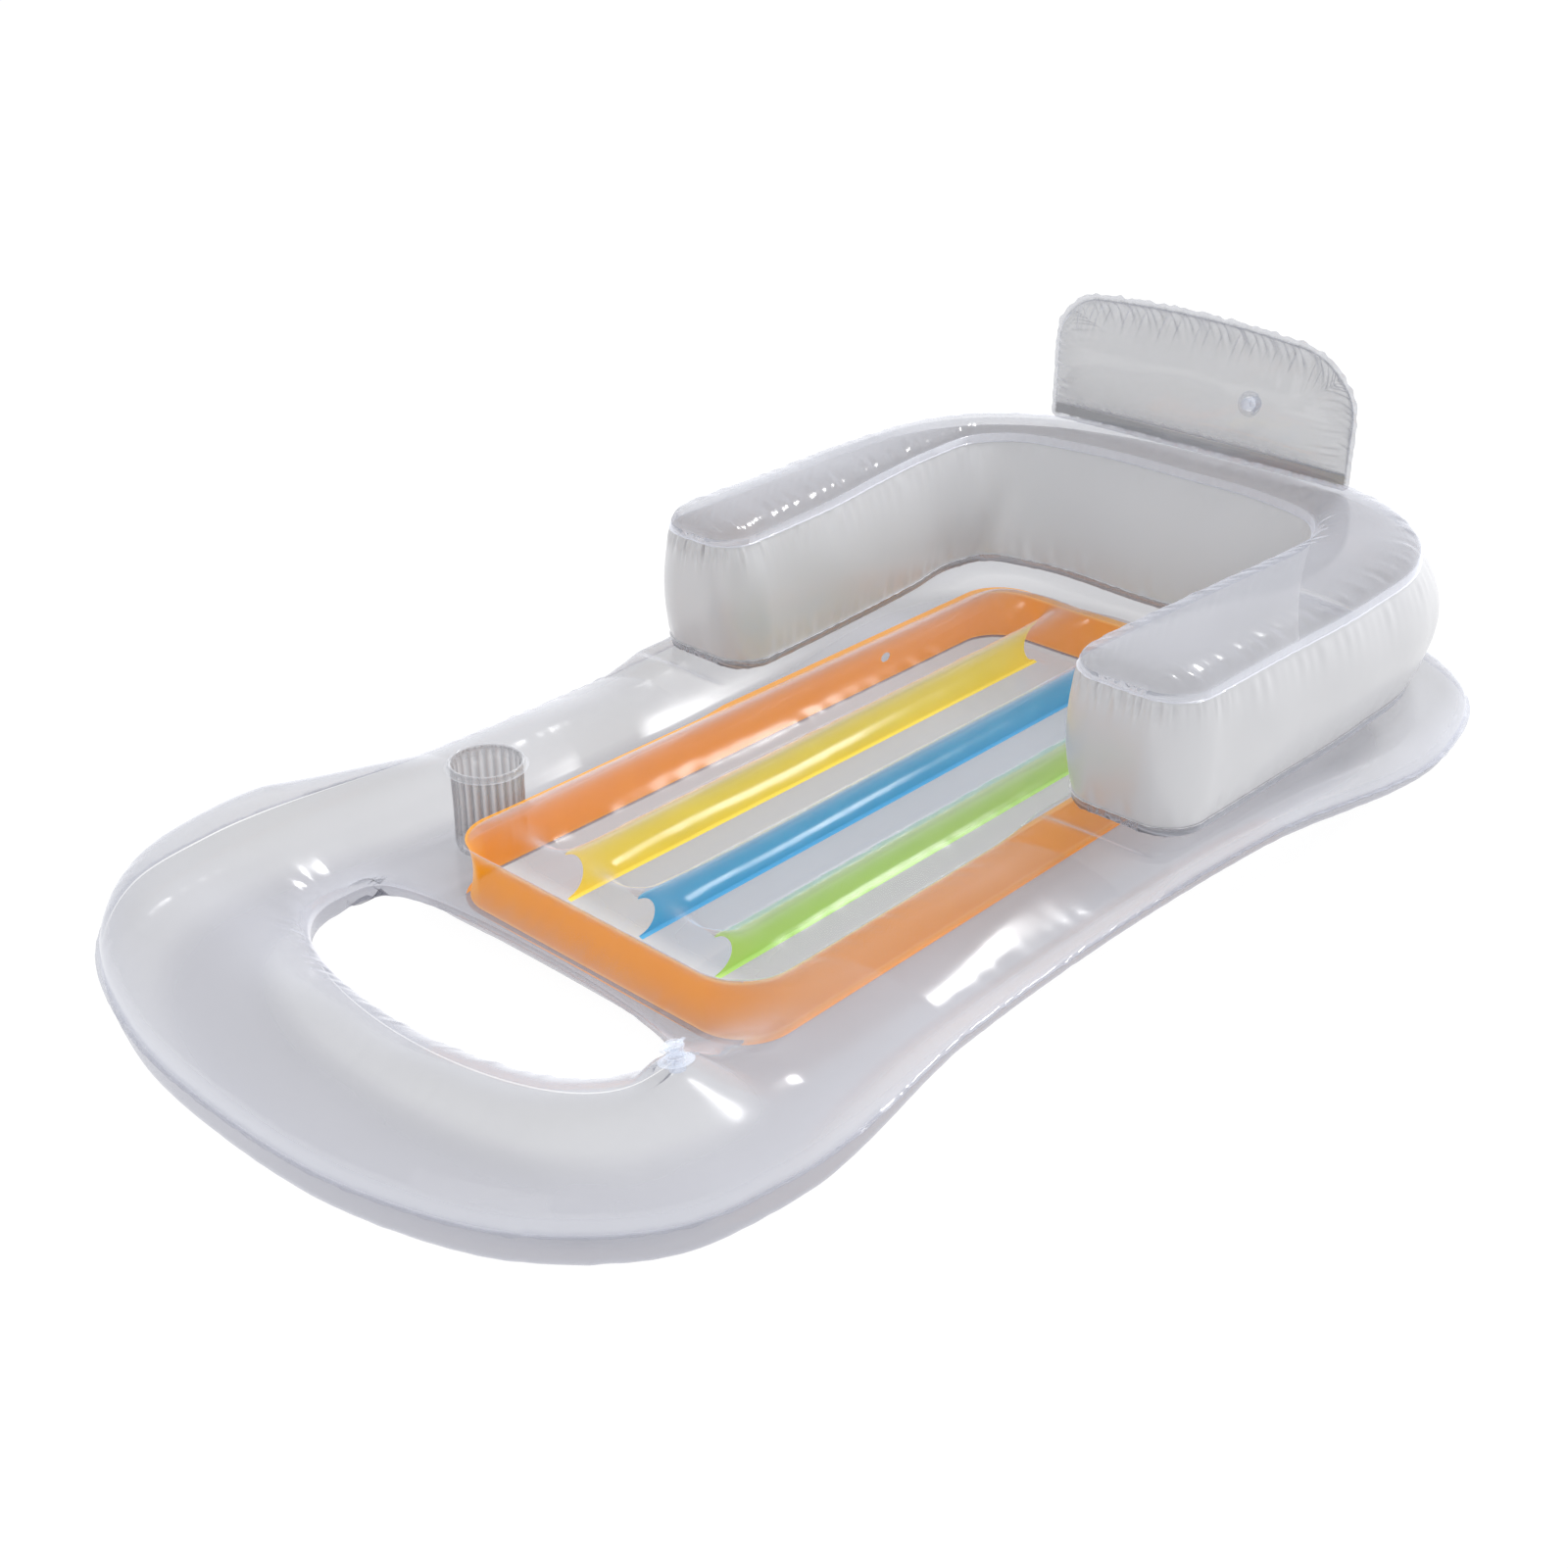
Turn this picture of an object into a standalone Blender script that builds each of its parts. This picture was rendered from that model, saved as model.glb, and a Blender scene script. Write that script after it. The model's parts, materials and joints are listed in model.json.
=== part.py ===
"""Inflatable pool lounger: welded film sheets, coloured beams, cup holder, headrest and air valves.

Metres, +Z up. The lounger lies along Y, foot end at -Y, head end at +Y, underside on z = 0.
The cup holder is on the -X side.
"""

from math import pi

import bmesh
import bpy
import numpy as np
from mathutils import Matrix, Vector
from mathutils.bvhtree import BVHTree

# Film and welds
FILM = 0.0003                       # thickness of every welded sheet
GAP = 0.0003                        # clearance between pieces that touch
FLANGE_WIDTH = 0.005                # flat welded edge outside a seam
WELD_TOLERANCE = 0.00001

# Base: overall size, seams and ring
BASE_LENGTH = 1.575                 # over the welded edge
BASE_WIDTH = 0.894
SEAM_HEIGHT = 0.060                 # outer seam, where top and bottom sheets meet
FOOT_CREST = 0.120                  # top of the ring round the foot opening
WAIST_CREST = 0.090                 # top of the ring beside the panel
ARM_CREST = 0.110                   # the ring under the bolster, before the bolster flattens it
BOTTOM_BULGE = 0.066                # how far the bottom sheet swells below its seams

# Base: foot opening
OPENING_HALF_WIDTH = 0.220
OPENING_Y = -0.495                  # line through the two ends of the opening
OPENING_TO_FOOT = 0.109             # from that line to the edge nearest the foot
OPENING_TO_PANEL = 0.065            # from that line to the edge nearest the panel
OPENING_SEAM = 0.050
BRIDGE_RISE = 0.016                 # swell of the sheet between opening and panel

# Panel inside the orange band, with its channels and beams
PANEL_HALF_WIDTH = 0.2126
PANEL_FOOT = -0.372
PANEL_HEAD = 0.553
PANEL_CORNER = 0.055
BAND_TOP = 0.066
BAND_FOOT = 0.004                   # height of the band's lower weld
BEAM_TOP = 0.055
BEAM_FOOT = 0.006
CHANNEL_CREST = 0.080
BEAM_INSET_FOOT = 0.070             # from the band to the beams' ends
BEAM_INSET_HEAD = 0.049
NOTCH_RADIUS = 0.016
AIR_HOLE_RADIUS = 0.006
AIR_HOLE_LENGTH = 0.018
AIR_HOLE_Y = 0.330
AIR_HOLE_Z = 0.036

# Cup holder
CUP_X = -0.262
CUP_Y = -0.272
CUP_RADIUS = 0.038
CUP_LIP = 0.004
CUP_FLOOR = 0.0008

# Bolster: armrests and backrest in one chamber
ARM_FRONT = 0.085
BACK_REAR = 0.744
BOLSTER_HALF_WIDTH = 0.375
BOLSTER_SEAT = 0.086                # the base is pressed flat here
BOLSTER_SEAM_LOW = 0.096
BOLSTER_SEAM_HIGH = 0.240
BOLSTER_CROWN = 0.030
BOLSTER_CORNER = 0.035
WALL_BULGE = 0.011
REAR_BULGE = 0.026                  # of the wall's outside, round the back
SKIRT_BULGE = 0.012

# Headrest
HEADREST_HALF_WIDTH = 0.209
HEADREST_HEIGHT = 0.161
HEADREST_CORNER = 0.065
HEADREST_BULGE = 0.038              # of each sheet
HEADREST_FLANGE = 0.008

# Air valves
VALVE_FLANGE_RADIUS = 0.016
VALVE_FLANGE_THICKNESS = 0.0008
VALVE_COLLAR_RADIUS = 0.0098
VALVE_COLLAR_HEIGHT = 0.0045
STEM_RADIUS = 0.0075
STEM_BORE = 0.0045
STEM_OUTSIDE = 0.0140
STEM_INSIDE = 0.0080
STEM_RIM_RADIUS = 0.0090
STEM_RIM = 0.0015
PLUG_RADIUS = 0.0085
PLUG_CAP = 0.0018
STOPPER_RADIUS = 0.0042
STOPPER_TIP_RADIUS = 0.0034
STOPPER_LENGTH = 0.0060
STRAP_WIDTH = 0.0040
STRAP_THICKNESS = 0.0010
HINGE_RADIUS = 0.0012
HINGE_REACH = 0.0125                # from the valve's axis to the strap's fold
TAB_LENGTH = 0.0040
FLAP_RADIUS = 0.0060
FLAP_THICKNESS = 0.0006

# Mesh counts
RING_STEPS_TOP = 6                  # across the ring
RING_STEPS_BOTTOM = 5
PANEL_STEPS = 8                     # across half the panel
BEAM_END_STEPS = 2                  # along the panel, from the band to the beams' ends
FRONT_STEPS = 2                     # along the beams, as far as the arms
REAR_STEPS = 3                      # along the beams, between the arms
BOLSTER_STEPS = 6                   # across the bolster
BOLSTER_ROWS = 16                   # along half the bolster
WALL_STEPS = 3
HEADREST_STEPS = 6                  # across half the headrest
HEADREST_ROWS = 7
ROUND_STEPS = 16
CUP_STEPS = 24

# Outlines, as shares of the sizes that they follow

# Outer seam of the base's +X half: x of half the width, y of half the length
OUTLINE_SHARES = ((0, -1), (0.37, -0.980), (0.69, -0.905), (0.87, -0.790), (0.915, -0.674), (0.868, -0.330),
                  (0.862, -0.127), (0.90, 0.287), (1, 0.668), (0.906, 0.838), (0.56, 0.971), (0, 1))
FOOT_ANCHOR = 4                     # point of that outline beside the opening's end
HEAD_ANCHOR = 8                     # point of that outline where the head's corner starts

# Bolster seams of the +X half, front to rear: x of its half width, y from the front to the rear
INNER_LOW_SHARES = ((0.589, 0), (0.608, 0.246), (0.640, 0.50), (0.668, 0.649), (0.627, 0.725), (0.48, 0.755),
                    (0, 0.755))
INNER_HIGH_SHARES = ((0.612, 0), (0.645, 0.287), (0.680, 0.454), (0.705, 0.620), (0.688, 0.745),
                     (0.575, 0.822), (0.40, 0.840), (0, 0.840))
OUTER_LOW_SHARES = ((0.987, 0), (0.997, 0.246), (1.008, 0.53), (0.981, 0.731), (0.875, 0.858),
                    (0.667, 0.951), (0.40, 0.993), (0, 1))
OUTER_HIGH_SHARES = ((0.976, 0), (0.985, 0.231), (0.997, 0.53), (0.965, 0.724), (0.859, 0.843),
                     (0.667, 0.933), (0.40, 0.985), (0, 1))

# Ring along the base: places as shares of half the length, and how round its section is at each
RING_PLACE_SHARES = (-1, -0.60, -0.36, 0, 0.08, 1)
RING_ROUND_SHARES = (0.5, 0.5, 0.85, 0.85, 0.5, 0.5)
BOTTOM_ROUND_SHARES = (0.35, 0.35, 0.40, 0.40, 0.40, 0.40)
OPENING_NEAR_SHARE = 0.85           # roundness of the opening's foot side
OPENING_FAR_SHARE = 0.45            # and of its panel side
END_RISE_SHARE = 0.8                # how full the panel is halfway to the beams' ends
END_GROOVE_SHARE = 0.4              # how deep its grooves are there
HEADREST_ARCH_SHARE = 0.09          # how much lower the headrest is at its sides


def clear_scene():
    """Empty the scene and make one collection for the parts and one for the cutters."""
    for existing in list(bpy.data.objects):
        bpy.data.objects.remove(existing, do_unlink=True)
    parts = bpy.data.collections.new("inflatable_pool_lounger")
    cutters = bpy.data.collections.new("cutters")
    for collection in (parts, cutters):
        bpy.context.scene.collection.children.link(collection)
    return parts, cutters


PARTS, CUTTERS = clear_scene()


def film_material(name, colour, alpha, roughness):
    """PVC film or moulded PVC of one colour."""
    material = bpy.data.materials.new(name)
    material.use_nodes = True
    shader = material.node_tree.nodes["Principled BSDF"]
    shader.inputs["Base Color"].default_value = (*colour, 1)
    shader.inputs["Alpha"].default_value = alpha
    shader.inputs["Roughness"].default_value = roughness
    shader.inputs["Metallic"].default_value = 0
    material.diffuse_color = (*colour, 1)
    return material


CLEAR_FILM = film_material("clear_film", (0.74, 0.76, 0.80), 0.35, 0.12)
PEARL_FILM = film_material("pearl_film", (0.60, 0.60, 0.61), 1, 0.35)
SMOKE_FILM = film_material("smoke_film", (0.48, 0.49, 0.51), 0.6, 0.2)
ORANGE_FILM = film_material("orange_film", (0.85, 0.27, 0.04), 0.8, 0.15)
YELLOW_FILM = film_material("yellow_film", (0.92, 0.68, 0.06), 0.8, 0.15)
BLUE_FILM = film_material("blue_film", (0.05, 0.36, 0.60), 0.8, 0.15)
GREEN_FILM = film_material("green_film", (0.33, 0.65, 0.13), 0.8, 0.15)
VALVE_VINYL = film_material("valve_vinyl", (0.66, 0.75, 0.88), 0.6, 0.2)


def add_object(name, data, material, collection=PARTS):
    """Link an object made from a mesh or curve, under its part's name."""
    created = bpy.data.objects.new(name, data)
    collection.objects.link(created)
    if material:
        data.materials.append(material)
    return created


def grid_faces(grid, flipped):
    """Corner points of the two triangles in each cell of a grid of points."""
    a, b = grid[:-1, :-1], grid[1:, :-1]
    c, d = grid[1:, 1:], grid[:-1, 1:]
    cells = np.stack([np.stack([a, b, c], axis=2), np.stack([a, c, d], axis=2)], axis=2)
    triangles = cells.reshape(-1, 3, 3)
    return triangles[:, ::-1] if flipped else triangles


def sheet_mesh(name, grids, flipped=False):
    """One mesh from grids that share their edges: column direction x row direction points outwards."""
    shape = bmesh.new()
    for grid in grids:
        for triangle in grid_faces(grid, flipped):
            shape.faces.new([shape.verts.new(point) for point in triangle])
    bmesh.ops.remove_doubles(shape, verts=shape.verts, dist=WELD_TOLERANCE)
    mesh = bpy.data.meshes.new(name)
    shape.to_mesh(mesh)
    shape.free()
    return mesh


def film_sheet(name, grids, material, flipped=False, mirrored=True, centred=False):
    """A welded sheet: the grids are its inner face, or its middle where it is centred."""
    sheet = add_object(name, sheet_mesh(name, grids, flipped), material)
    sheet.data.shade_smooth()
    if mirrored:
        mirror = sheet.modifiers.new("mirror", "MIRROR")
        mirror.use_axis = (True, False, False)
        mirror.merge_threshold = WELD_TOLERANCE
    wall = sheet.modifiers.new("film", "SOLIDIFY")
    wall.thickness = FILM
    wall.offset = 0 if centred else 1
    return sheet


def cut(target, tool, operation="DIFFERENCE"):
    """Cut a tool out of a part, or join it on; the tool stays as a hidden wire."""
    boolean = target.modifiers.new(tool.name, "BOOLEAN")
    boolean.operation = operation
    boolean.solver = "EXACT"
    boolean.object = tool
    tool.hide_render = True
    tool.display_type = "WIRE"
    for collection in list(tool.users_collection):
        collection.objects.unlink(tool)
    CUTTERS.objects.link(tool)


def turned(name, profile, material, steps=ROUND_STEPS, closed=True):
    """A profile of (radius, height) points turned round Z, its outer side running down."""
    shape = bmesh.new()
    points = [shape.verts.new((radius, 0, height)) for radius, height in profile]
    for start, end in zip(points, points[1:]):
        shape.edges.new((start, end))
    if closed:
        shape.edges.new((points[-1], points[0]))
    mesh = bpy.data.meshes.new(name)
    shape.to_mesh(mesh)
    shape.free()
    piece = add_object(name, mesh, material)
    screw = piece.modifiers.new("turn", "SCREW")
    screw.steps = steps
    screw.render_steps = steps
    screw.use_merge_vertices = True
    screw.merge_threshold = WELD_TOLERANCE
    screw.use_smooth_shade = False
    return piece


def block(name, low, high):
    """A box between two corners, used to join or cut."""
    low, high = Vector(low), Vector(high)
    bpy.ops.mesh.primitive_cube_add(size=1)
    box = bpy.context.object
    box.name = name
    box.data.transform(Matrix.Translation((low + high) / 2) @ Matrix.Diagonal((*(high - low), 1)))
    return box


def rod(name, radius, length, steps=ROUND_STEPS):
    """A cylinder along Z round the origin, used to join or cut."""
    bpy.ops.mesh.primitive_cylinder_add(radius=radius, depth=length, vertices=steps)
    cylinder = bpy.context.object
    cylinder.name = name
    return cylinder


def joint_guide(name, parent=None, place=(0, 0, 0)):
    """An empty on a joint's axis, at a place in its parent's frame, that carries the joint's pieces."""
    guide = bpy.data.objects.new(name, None)
    PARTS.objects.link(guide)
    guide.parent = parent
    guide.location = place
    return guide


# Smooth curves through chosen points


class SmoothCurve:
    """A plane curve through points, read by the chord length from its first point."""

    def __init__(self, points, ghost_start=None, ghost_end=None):
        chain = [p for p in (ghost_start, *points, ghost_end) if p is not None]
        self.points = np.array(chain, float)
        chords = np.linalg.norm(np.diff(self.points, axis=0), axis=1)
        first = 1 if ghost_start is not None else 0
        knots = np.concatenate([[0], np.cumsum(chords)])
        self.knots = knots - knots[first]
        self.first = first
        self.length = self.knots[-2] if ghost_end is not None else self.knots[-1]
        self.tangents = np.gradient(self.points, self.knots, axis=0)

    def knot(self, index):
        """Place of one of the chosen points."""
        return self.knots[index + self.first]

    def at(self, places):
        """Points at an array of places, by cubic pieces with matching slopes."""
        places = np.asarray(places, float)
        span = np.clip(np.searchsorted(self.knots, places, side="right") - 1, 0, len(self.knots) - 2)
        start, end = self.knots[span], self.knots[span + 1]
        length = (end - start)[..., None]
        f = ((places - start) / (end - start))[..., None]
        return ((1 + 2 * f) * (1 - f) ** 2 * self.points[span]
                + f * (1 - f) ** 2 * length * self.tangents[span]
                + f ** 2 * (3 - 2 * f) * self.points[span + 1]
                + f ** 2 * (f - 1) * length * self.tangents[span + 1])


def mirrored_point(point):
    """The point on the other side of the centre line."""
    return (-point[0], point[1])


def round_corner(x, y, centre_x, centre_y, towards=1):
    """Turn the square corner beyond a centre into a quarter circle; everything else stays."""
    dx = x - centre_x
    dy = (y - centre_y) * towards
    inside = (dx > 0) & (dy > 0)
    reach = np.maximum(dx, dy)
    distance = np.where(inside, np.hypot(dx, dy), 1)
    scale = np.where(inside, reach / distance, 1)
    return (np.where(inside, centre_x + dx * scale, x),
            np.where(inside, centre_y + dy * scale * towards, y))


# Plan of the base, +X half


def panel_rows():
    """Y of each row of the panel: band, beams' ends, and one row just before the arms."""
    beam_start = PANEL_FOOT + BEAM_INSET_FOOT
    beam_end = PANEL_HEAD - BEAM_INSET_HEAD
    before_arm = ARM_FRONT - BOLSTER_CORNER
    return np.concatenate([np.linspace(PANEL_FOOT, beam_start, BEAM_END_STEPS, endpoint=False),
                           np.linspace(beam_start, before_arm, FRONT_STEPS, endpoint=False),
                           np.linspace(before_arm, beam_end, REAR_STEPS, endpoint=False),
                           np.linspace(beam_end, PANEL_HEAD, BEAM_END_STEPS + 1)])


ROWS = panel_rows()


def panel_plan():
    """Grid of the panel: columns from the centre line out, rows from foot to head, corners rounded."""
    x, y = np.meshgrid(np.linspace(0, PANEL_HALF_WIDTH, PANEL_STEPS + 1), ROWS, indexing="ij")
    corner_x = PANEL_HALF_WIDTH - PANEL_CORNER
    x, y = round_corner(x, y, corner_x, PANEL_HEAD - PANEL_CORNER)
    x, y = round_corner(x, y, corner_x, PANEL_FOOT + PANEL_CORNER, towards=-1)
    return np.stack([x, y], axis=-1)


def opening_edge(depth, roundness):
    """Half of one side of the foot opening, from the centre line to its end."""
    angle = np.linspace(0, pi / 2, PANEL_STEPS + 1)
    across = np.maximum(np.cos(angle), 0) ** roundness
    across[-1] = 0
    return np.stack([OPENING_HALF_WIDTH * np.sin(angle), OPENING_Y + depth * across], axis=-1)


PANEL = panel_plan()
OPENING_NEAR = opening_edge(-OPENING_TO_FOOT, OPENING_NEAR_SHARE)
OPENING_FAR = opening_edge(OPENING_TO_PANEL, OPENING_FAR_SHARE)
BRIDGE = np.stack([OPENING_FAR, (OPENING_FAR + PANEL[:, 0]) / 2, PANEL[:, 0]], axis=1)


def ring_edges():
    """Inner and outer edge of the ring, point for point, from foot to head round the +X side."""
    connector = BRIDGE[-1, 1:2]
    side = np.concatenate([OPENING_NEAR[-1:], connector, PANEL[-1]])
    head = PANEL[::-1, -1]
    inner = np.concatenate([OPENING_NEAR, side[1:], head[1:]])
    half_size = np.array([BASE_WIDTH, BASE_LENGTH]) / 2 - FLANGE_WIDTH
    points = np.array(OUTLINE_SHARES) * half_size
    curve = SmoothCurve(points, mirrored_point(points[1]), mirrored_point(points[-2]))
    start, end = curve.knot(FOOT_ANCHOR), curve.knot(HEAD_ANCHOR)
    steps = np.concatenate([[0], np.cumsum(np.linalg.norm(np.diff(side, axis=0), axis=1))])
    places = np.concatenate([np.linspace(0, start, PANEL_STEPS + 1),
                             (start + (end - start) * steps / steps[-1])[1:],
                             np.linspace(end, curve.length, PANEL_STEPS + 1)[1:]])
    outer = curve.at(places)
    outer[[0, -1], 0] = 0
    return inner, outer


RING_INNER, RING_OUTER = ring_edges()
CONNECTOR_COLUMN = PANEL_STEPS + 1
PANEL_COLUMN = PANEL_STEPS + 2
ARM_COLUMN = PANEL_COLUMN + BEAM_END_STEPS + FRONT_STEPS


def outward(points, ends=(0, -1)):
    """Unit vectors in plan to the right of the way along a row of points."""
    along = np.gradient(points, axis=0)
    across = np.stack([along[:, 1], -along[:, 0]], axis=-1)
    across[list(ends), 0] = 0
    return across / np.linalg.norm(across, axis=1, keepdims=True)


def lerp(start, end, share):
    """Value part of the way between two others."""
    return start + (end - start) * share


def ring_heights(side, steps, inner_seam, panel_edge, crest):
    """Heights across the ring: between its seams, plus a swell that ends at the crest."""
    angle = np.linspace(0, pi, steps + 1)
    share = (1 - np.cos(angle)) / 2
    middle_y = (RING_INNER[:, 1] + RING_OUTER[:, 1]) / 2
    round_shares = RING_ROUND_SHARES if side > 0 else BOTTOM_ROUND_SHARES
    roundness = np.interp(middle_y, np.array(RING_PLACE_SHARES) * BASE_LENGTH / 2, round_shares)
    inner_heights = np.full(len(RING_INNER), panel_edge)
    inner_heights[:CONNECTOR_COLUMN] = inner_seam
    inner_heights[CONNECTOR_COLUMN] = (inner_seam + panel_edge) / 2 + side * BRIDGE_RISE
    base = lerp(SEAM_HEIGHT, inner_heights[:, None], share[None, :])
    swell = (4 * share * (1 - share))[None, :] ** roundness[:, None]
    swell[:, [0, -1]] = 0
    rise = crest(middle_y)[:, None] - (SEAM_HEIGHT + inner_heights[:, None]) / 2
    plan = lerp(RING_OUTER[:, None], RING_INNER[:, None], share[None, :, None])
    return plan, base + rise * swell


def with_flange(grid):
    """Add a flat welded edge outside a ring grid."""
    flat = grid[:, :1].copy()
    flat[:, 0, :2] += outward(RING_OUTER) * FLANGE_WIDTH
    return np.concatenate([flat, grid], axis=1)


def stacked(plan, heights):
    """Plan points and heights as one grid of points."""
    return np.concatenate([plan, heights[..., None]], axis=-1)


def panel_heights(edge, beam, crest):
    """Heights over the panel: grooves at the beams, a swell between them, level at the band."""
    across = np.arange(PANEL_STEPS + 1) / PANEL_STEPS
    bulge = np.abs(np.sin(2 * pi * across))
    floor = np.interp(across, (0, 0.5, 1), (beam, beam, edge))
    rise = np.ones(len(ROWS))
    groove = np.ones(len(ROWS))
    rise[[0, -1]] = 0
    ends = [*range(1, BEAM_END_STEPS), *range(-BEAM_END_STEPS, -1)]
    rise[ends] = END_RISE_SHARE
    groove[ends] = END_GROOVE_SHARE
    depth = ((1 - bulge) * (crest - floor))[:, None] * groove[None, :]
    heights = edge + rise[None, :] * (crest - edge - depth)
    heights[-1, :] = edge
    heights[:, [0, -1]] = edge
    return heights


def bridge_heights(seam, edge, rise):
    """Heights between the opening and the panel."""
    heights = np.empty(BRIDGE.shape[:2])
    heights[:, 0] = seam
    heights[:, 1] = (seam + edge) / 2 + rise
    heights[:, 2] = edge
    return heights


def top_crest(y):
    """Crest of the ring's top sheet along the lounger."""
    crests = (FOOT_CREST, FOOT_CREST, WAIST_CREST, WAIST_CREST, ARM_CREST, ARM_CREST)
    return np.interp(y, np.array(RING_PLACE_SHARES) * BASE_LENGTH / 2, crests)


def top_grids():
    """Inner face of the base's top sheet: ring, bridge and panel."""
    plan, heights = ring_heights(1, RING_STEPS_TOP, OPENING_SEAM, BAND_TOP, top_crest)
    heights[ARM_COLUMN:] = np.minimum(heights[ARM_COLUMN:], BOLSTER_SEAT)
    ring = with_flange(stacked(plan, heights + GAP / 2))
    bridge = stacked(BRIDGE, bridge_heights(OPENING_SEAM, BAND_TOP, BRIDGE_RISE) + GAP / 2)
    panel = stacked(PANEL, panel_heights(BAND_TOP, BEAM_TOP, CHANNEL_CREST) + GAP / 2)
    return ring, bridge, panel


def bottom_grids():
    """Inner face of the base's bottom sheet, pressed flat where it meets the ground."""
    plan, heights = ring_heights(-1, RING_STEPS_BOTTOM, OPENING_SEAM, BAND_FOOT,
                                 lambda y: np.full(len(y), SEAM_HEIGHT - BOTTOM_BULGE))
    ring = with_flange(stacked(plan, np.maximum(heights - GAP / 2, FILM)))
    bridge = bridge_heights(OPENING_SEAM, BAND_FOOT, -BRIDGE_RISE)
    panel = panel_heights(BAND_FOOT, BEAM_FOOT, 0)
    return (ring, stacked(BRIDGE, np.maximum(bridge - GAP / 2, FILM)),
            stacked(PANEL, np.maximum(panel - GAP / 2, FILM)))


TOP_RING, TOP_BRIDGE, TOP_PANEL = top_grids()
BOTTOM_RING, BOTTOM_BRIDGE, BOTTOM_PANEL = bottom_grids()


def highest_under(grids, places):
    """Highest point of a sheet's inner face, either half, under some places in plan."""
    triangles = np.concatenate([grid_faces(grid, False) for grid in grids])
    points = np.concatenate([triangles, triangles * (-1, 1, 1)]).reshape(-1, 3)
    faces = np.arange(len(points)).reshape(-1, 3)
    surface = BVHTree.FromPolygons(points.tolist(), faces.tolist())
    hits = [surface.ray_cast(Vector((x, y, BASE_WIDTH)), Vector((0, 0, -1)))[0] for x, y in places]
    return max(hit.z for hit in hits if hit)


def build_base():
    """Top and bottom sheets of the base chamber."""
    top = film_sheet("base_top_sheet", (TOP_RING, TOP_BRIDGE, TOP_PANEL), CLEAR_FILM)
    film_sheet("base_bottom_sheet", (BOTTOM_RING, BOTTOM_BRIDGE, BOTTOM_PANEL), CLEAR_FILM, flipped=True)
    return top


# Coloured strips between the sheets


def panel_edge(grid):
    """The panel's rim, from the middle of its foot edge to the middle of its head edge."""
    return np.concatenate([grid[:, 0], grid[-1, 1:], grid[-2::-1, -1]])


def build_band():
    """Orange strip on edge round the panel, with its punched air hole."""
    low = panel_edge(BOTTOM_PANEL) + (0, 0, GAP)
    high = panel_edge(TOP_PANEL) - (0, 0, GAP)
    band = film_sheet("orange_band", (np.stack([low, high], axis=1),), ORANGE_FILM, centred=True)
    punch = rod("air_hole_punch", AIR_HOLE_RADIUS, PANEL_CORNER)
    punch.data.transform(Matrix.Diagonal((1, AIR_HOLE_LENGTH / 2 / AIR_HOLE_RADIUS, 1, 1)))
    punch.data.transform(Matrix.Rotation(pi / 2, 4, "Y"))
    punch.location = (-PANEL_HALF_WIDTH, AIR_HOLE_Y, AIR_HOLE_Z)
    cut(band, punch)


def notch(y, middle, direction):
    """Round bite in a beam's end, from its lower to its upper edge."""
    angle = np.linspace(-pi / 2, pi / 2, ROUND_STEPS // 2 + 1)
    return np.stack([y + direction * NOTCH_RADIUS * np.cos(angle),
                     middle + NOTCH_RADIUS * np.sin(angle)], axis=-1)


def build_beam(name, column, side, material):
    """A strip of coloured film on edge, welded to both sheets along one groove of the panel."""
    beam_rows = slice(BEAM_END_STEPS, -BEAM_END_STEPS)
    high = TOP_PANEL[column, beam_rows, 1:] - (0, GAP)
    low = BOTTOM_PANEL[column, beam_rows, 1:] + (0, GAP)
    middle = (high[0, 1] + low[0, 1]) / 2
    foot_bite = notch(high[0, 0], middle, 1)
    head_bite = notch(high[-1, 0], middle, -1)
    outline = np.concatenate([low, head_bite, high[::-1], foot_bite[::-1]])
    curve = bpy.data.curves.new(name, "CURVE")
    curve.dimensions = "2D"
    curve.fill_mode = "BOTH"
    curve.extrude = FILM / 2
    spline = curve.splines.new("POLY")
    spline.points.add(len(outline) - 1)
    for point, place in zip(spline.points, outline):
        point.co = (*place, 0, 1)
    spline.use_cyclic_u = True
    beam = add_object(name, curve, material)
    beam.rotation_euler = (pi / 2, 0, pi / 2)
    beam.location.x = side * TOP_PANEL[column, BEAM_END_STEPS, 0]


# Cup holder


def cup_places(radius):
    """Places in plan inside a circle round the cup holder's axis."""
    angles = np.linspace(0, 2 * pi, 2 * CUP_STEPS, endpoint=False)
    ring, angle = np.meshgrid(np.linspace(0, radius, 4), angles)
    return np.stack([CUP_X + ring * np.cos(angle), CUP_Y + ring * np.sin(angle)], axis=-1).reshape(-1, 2)


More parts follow.
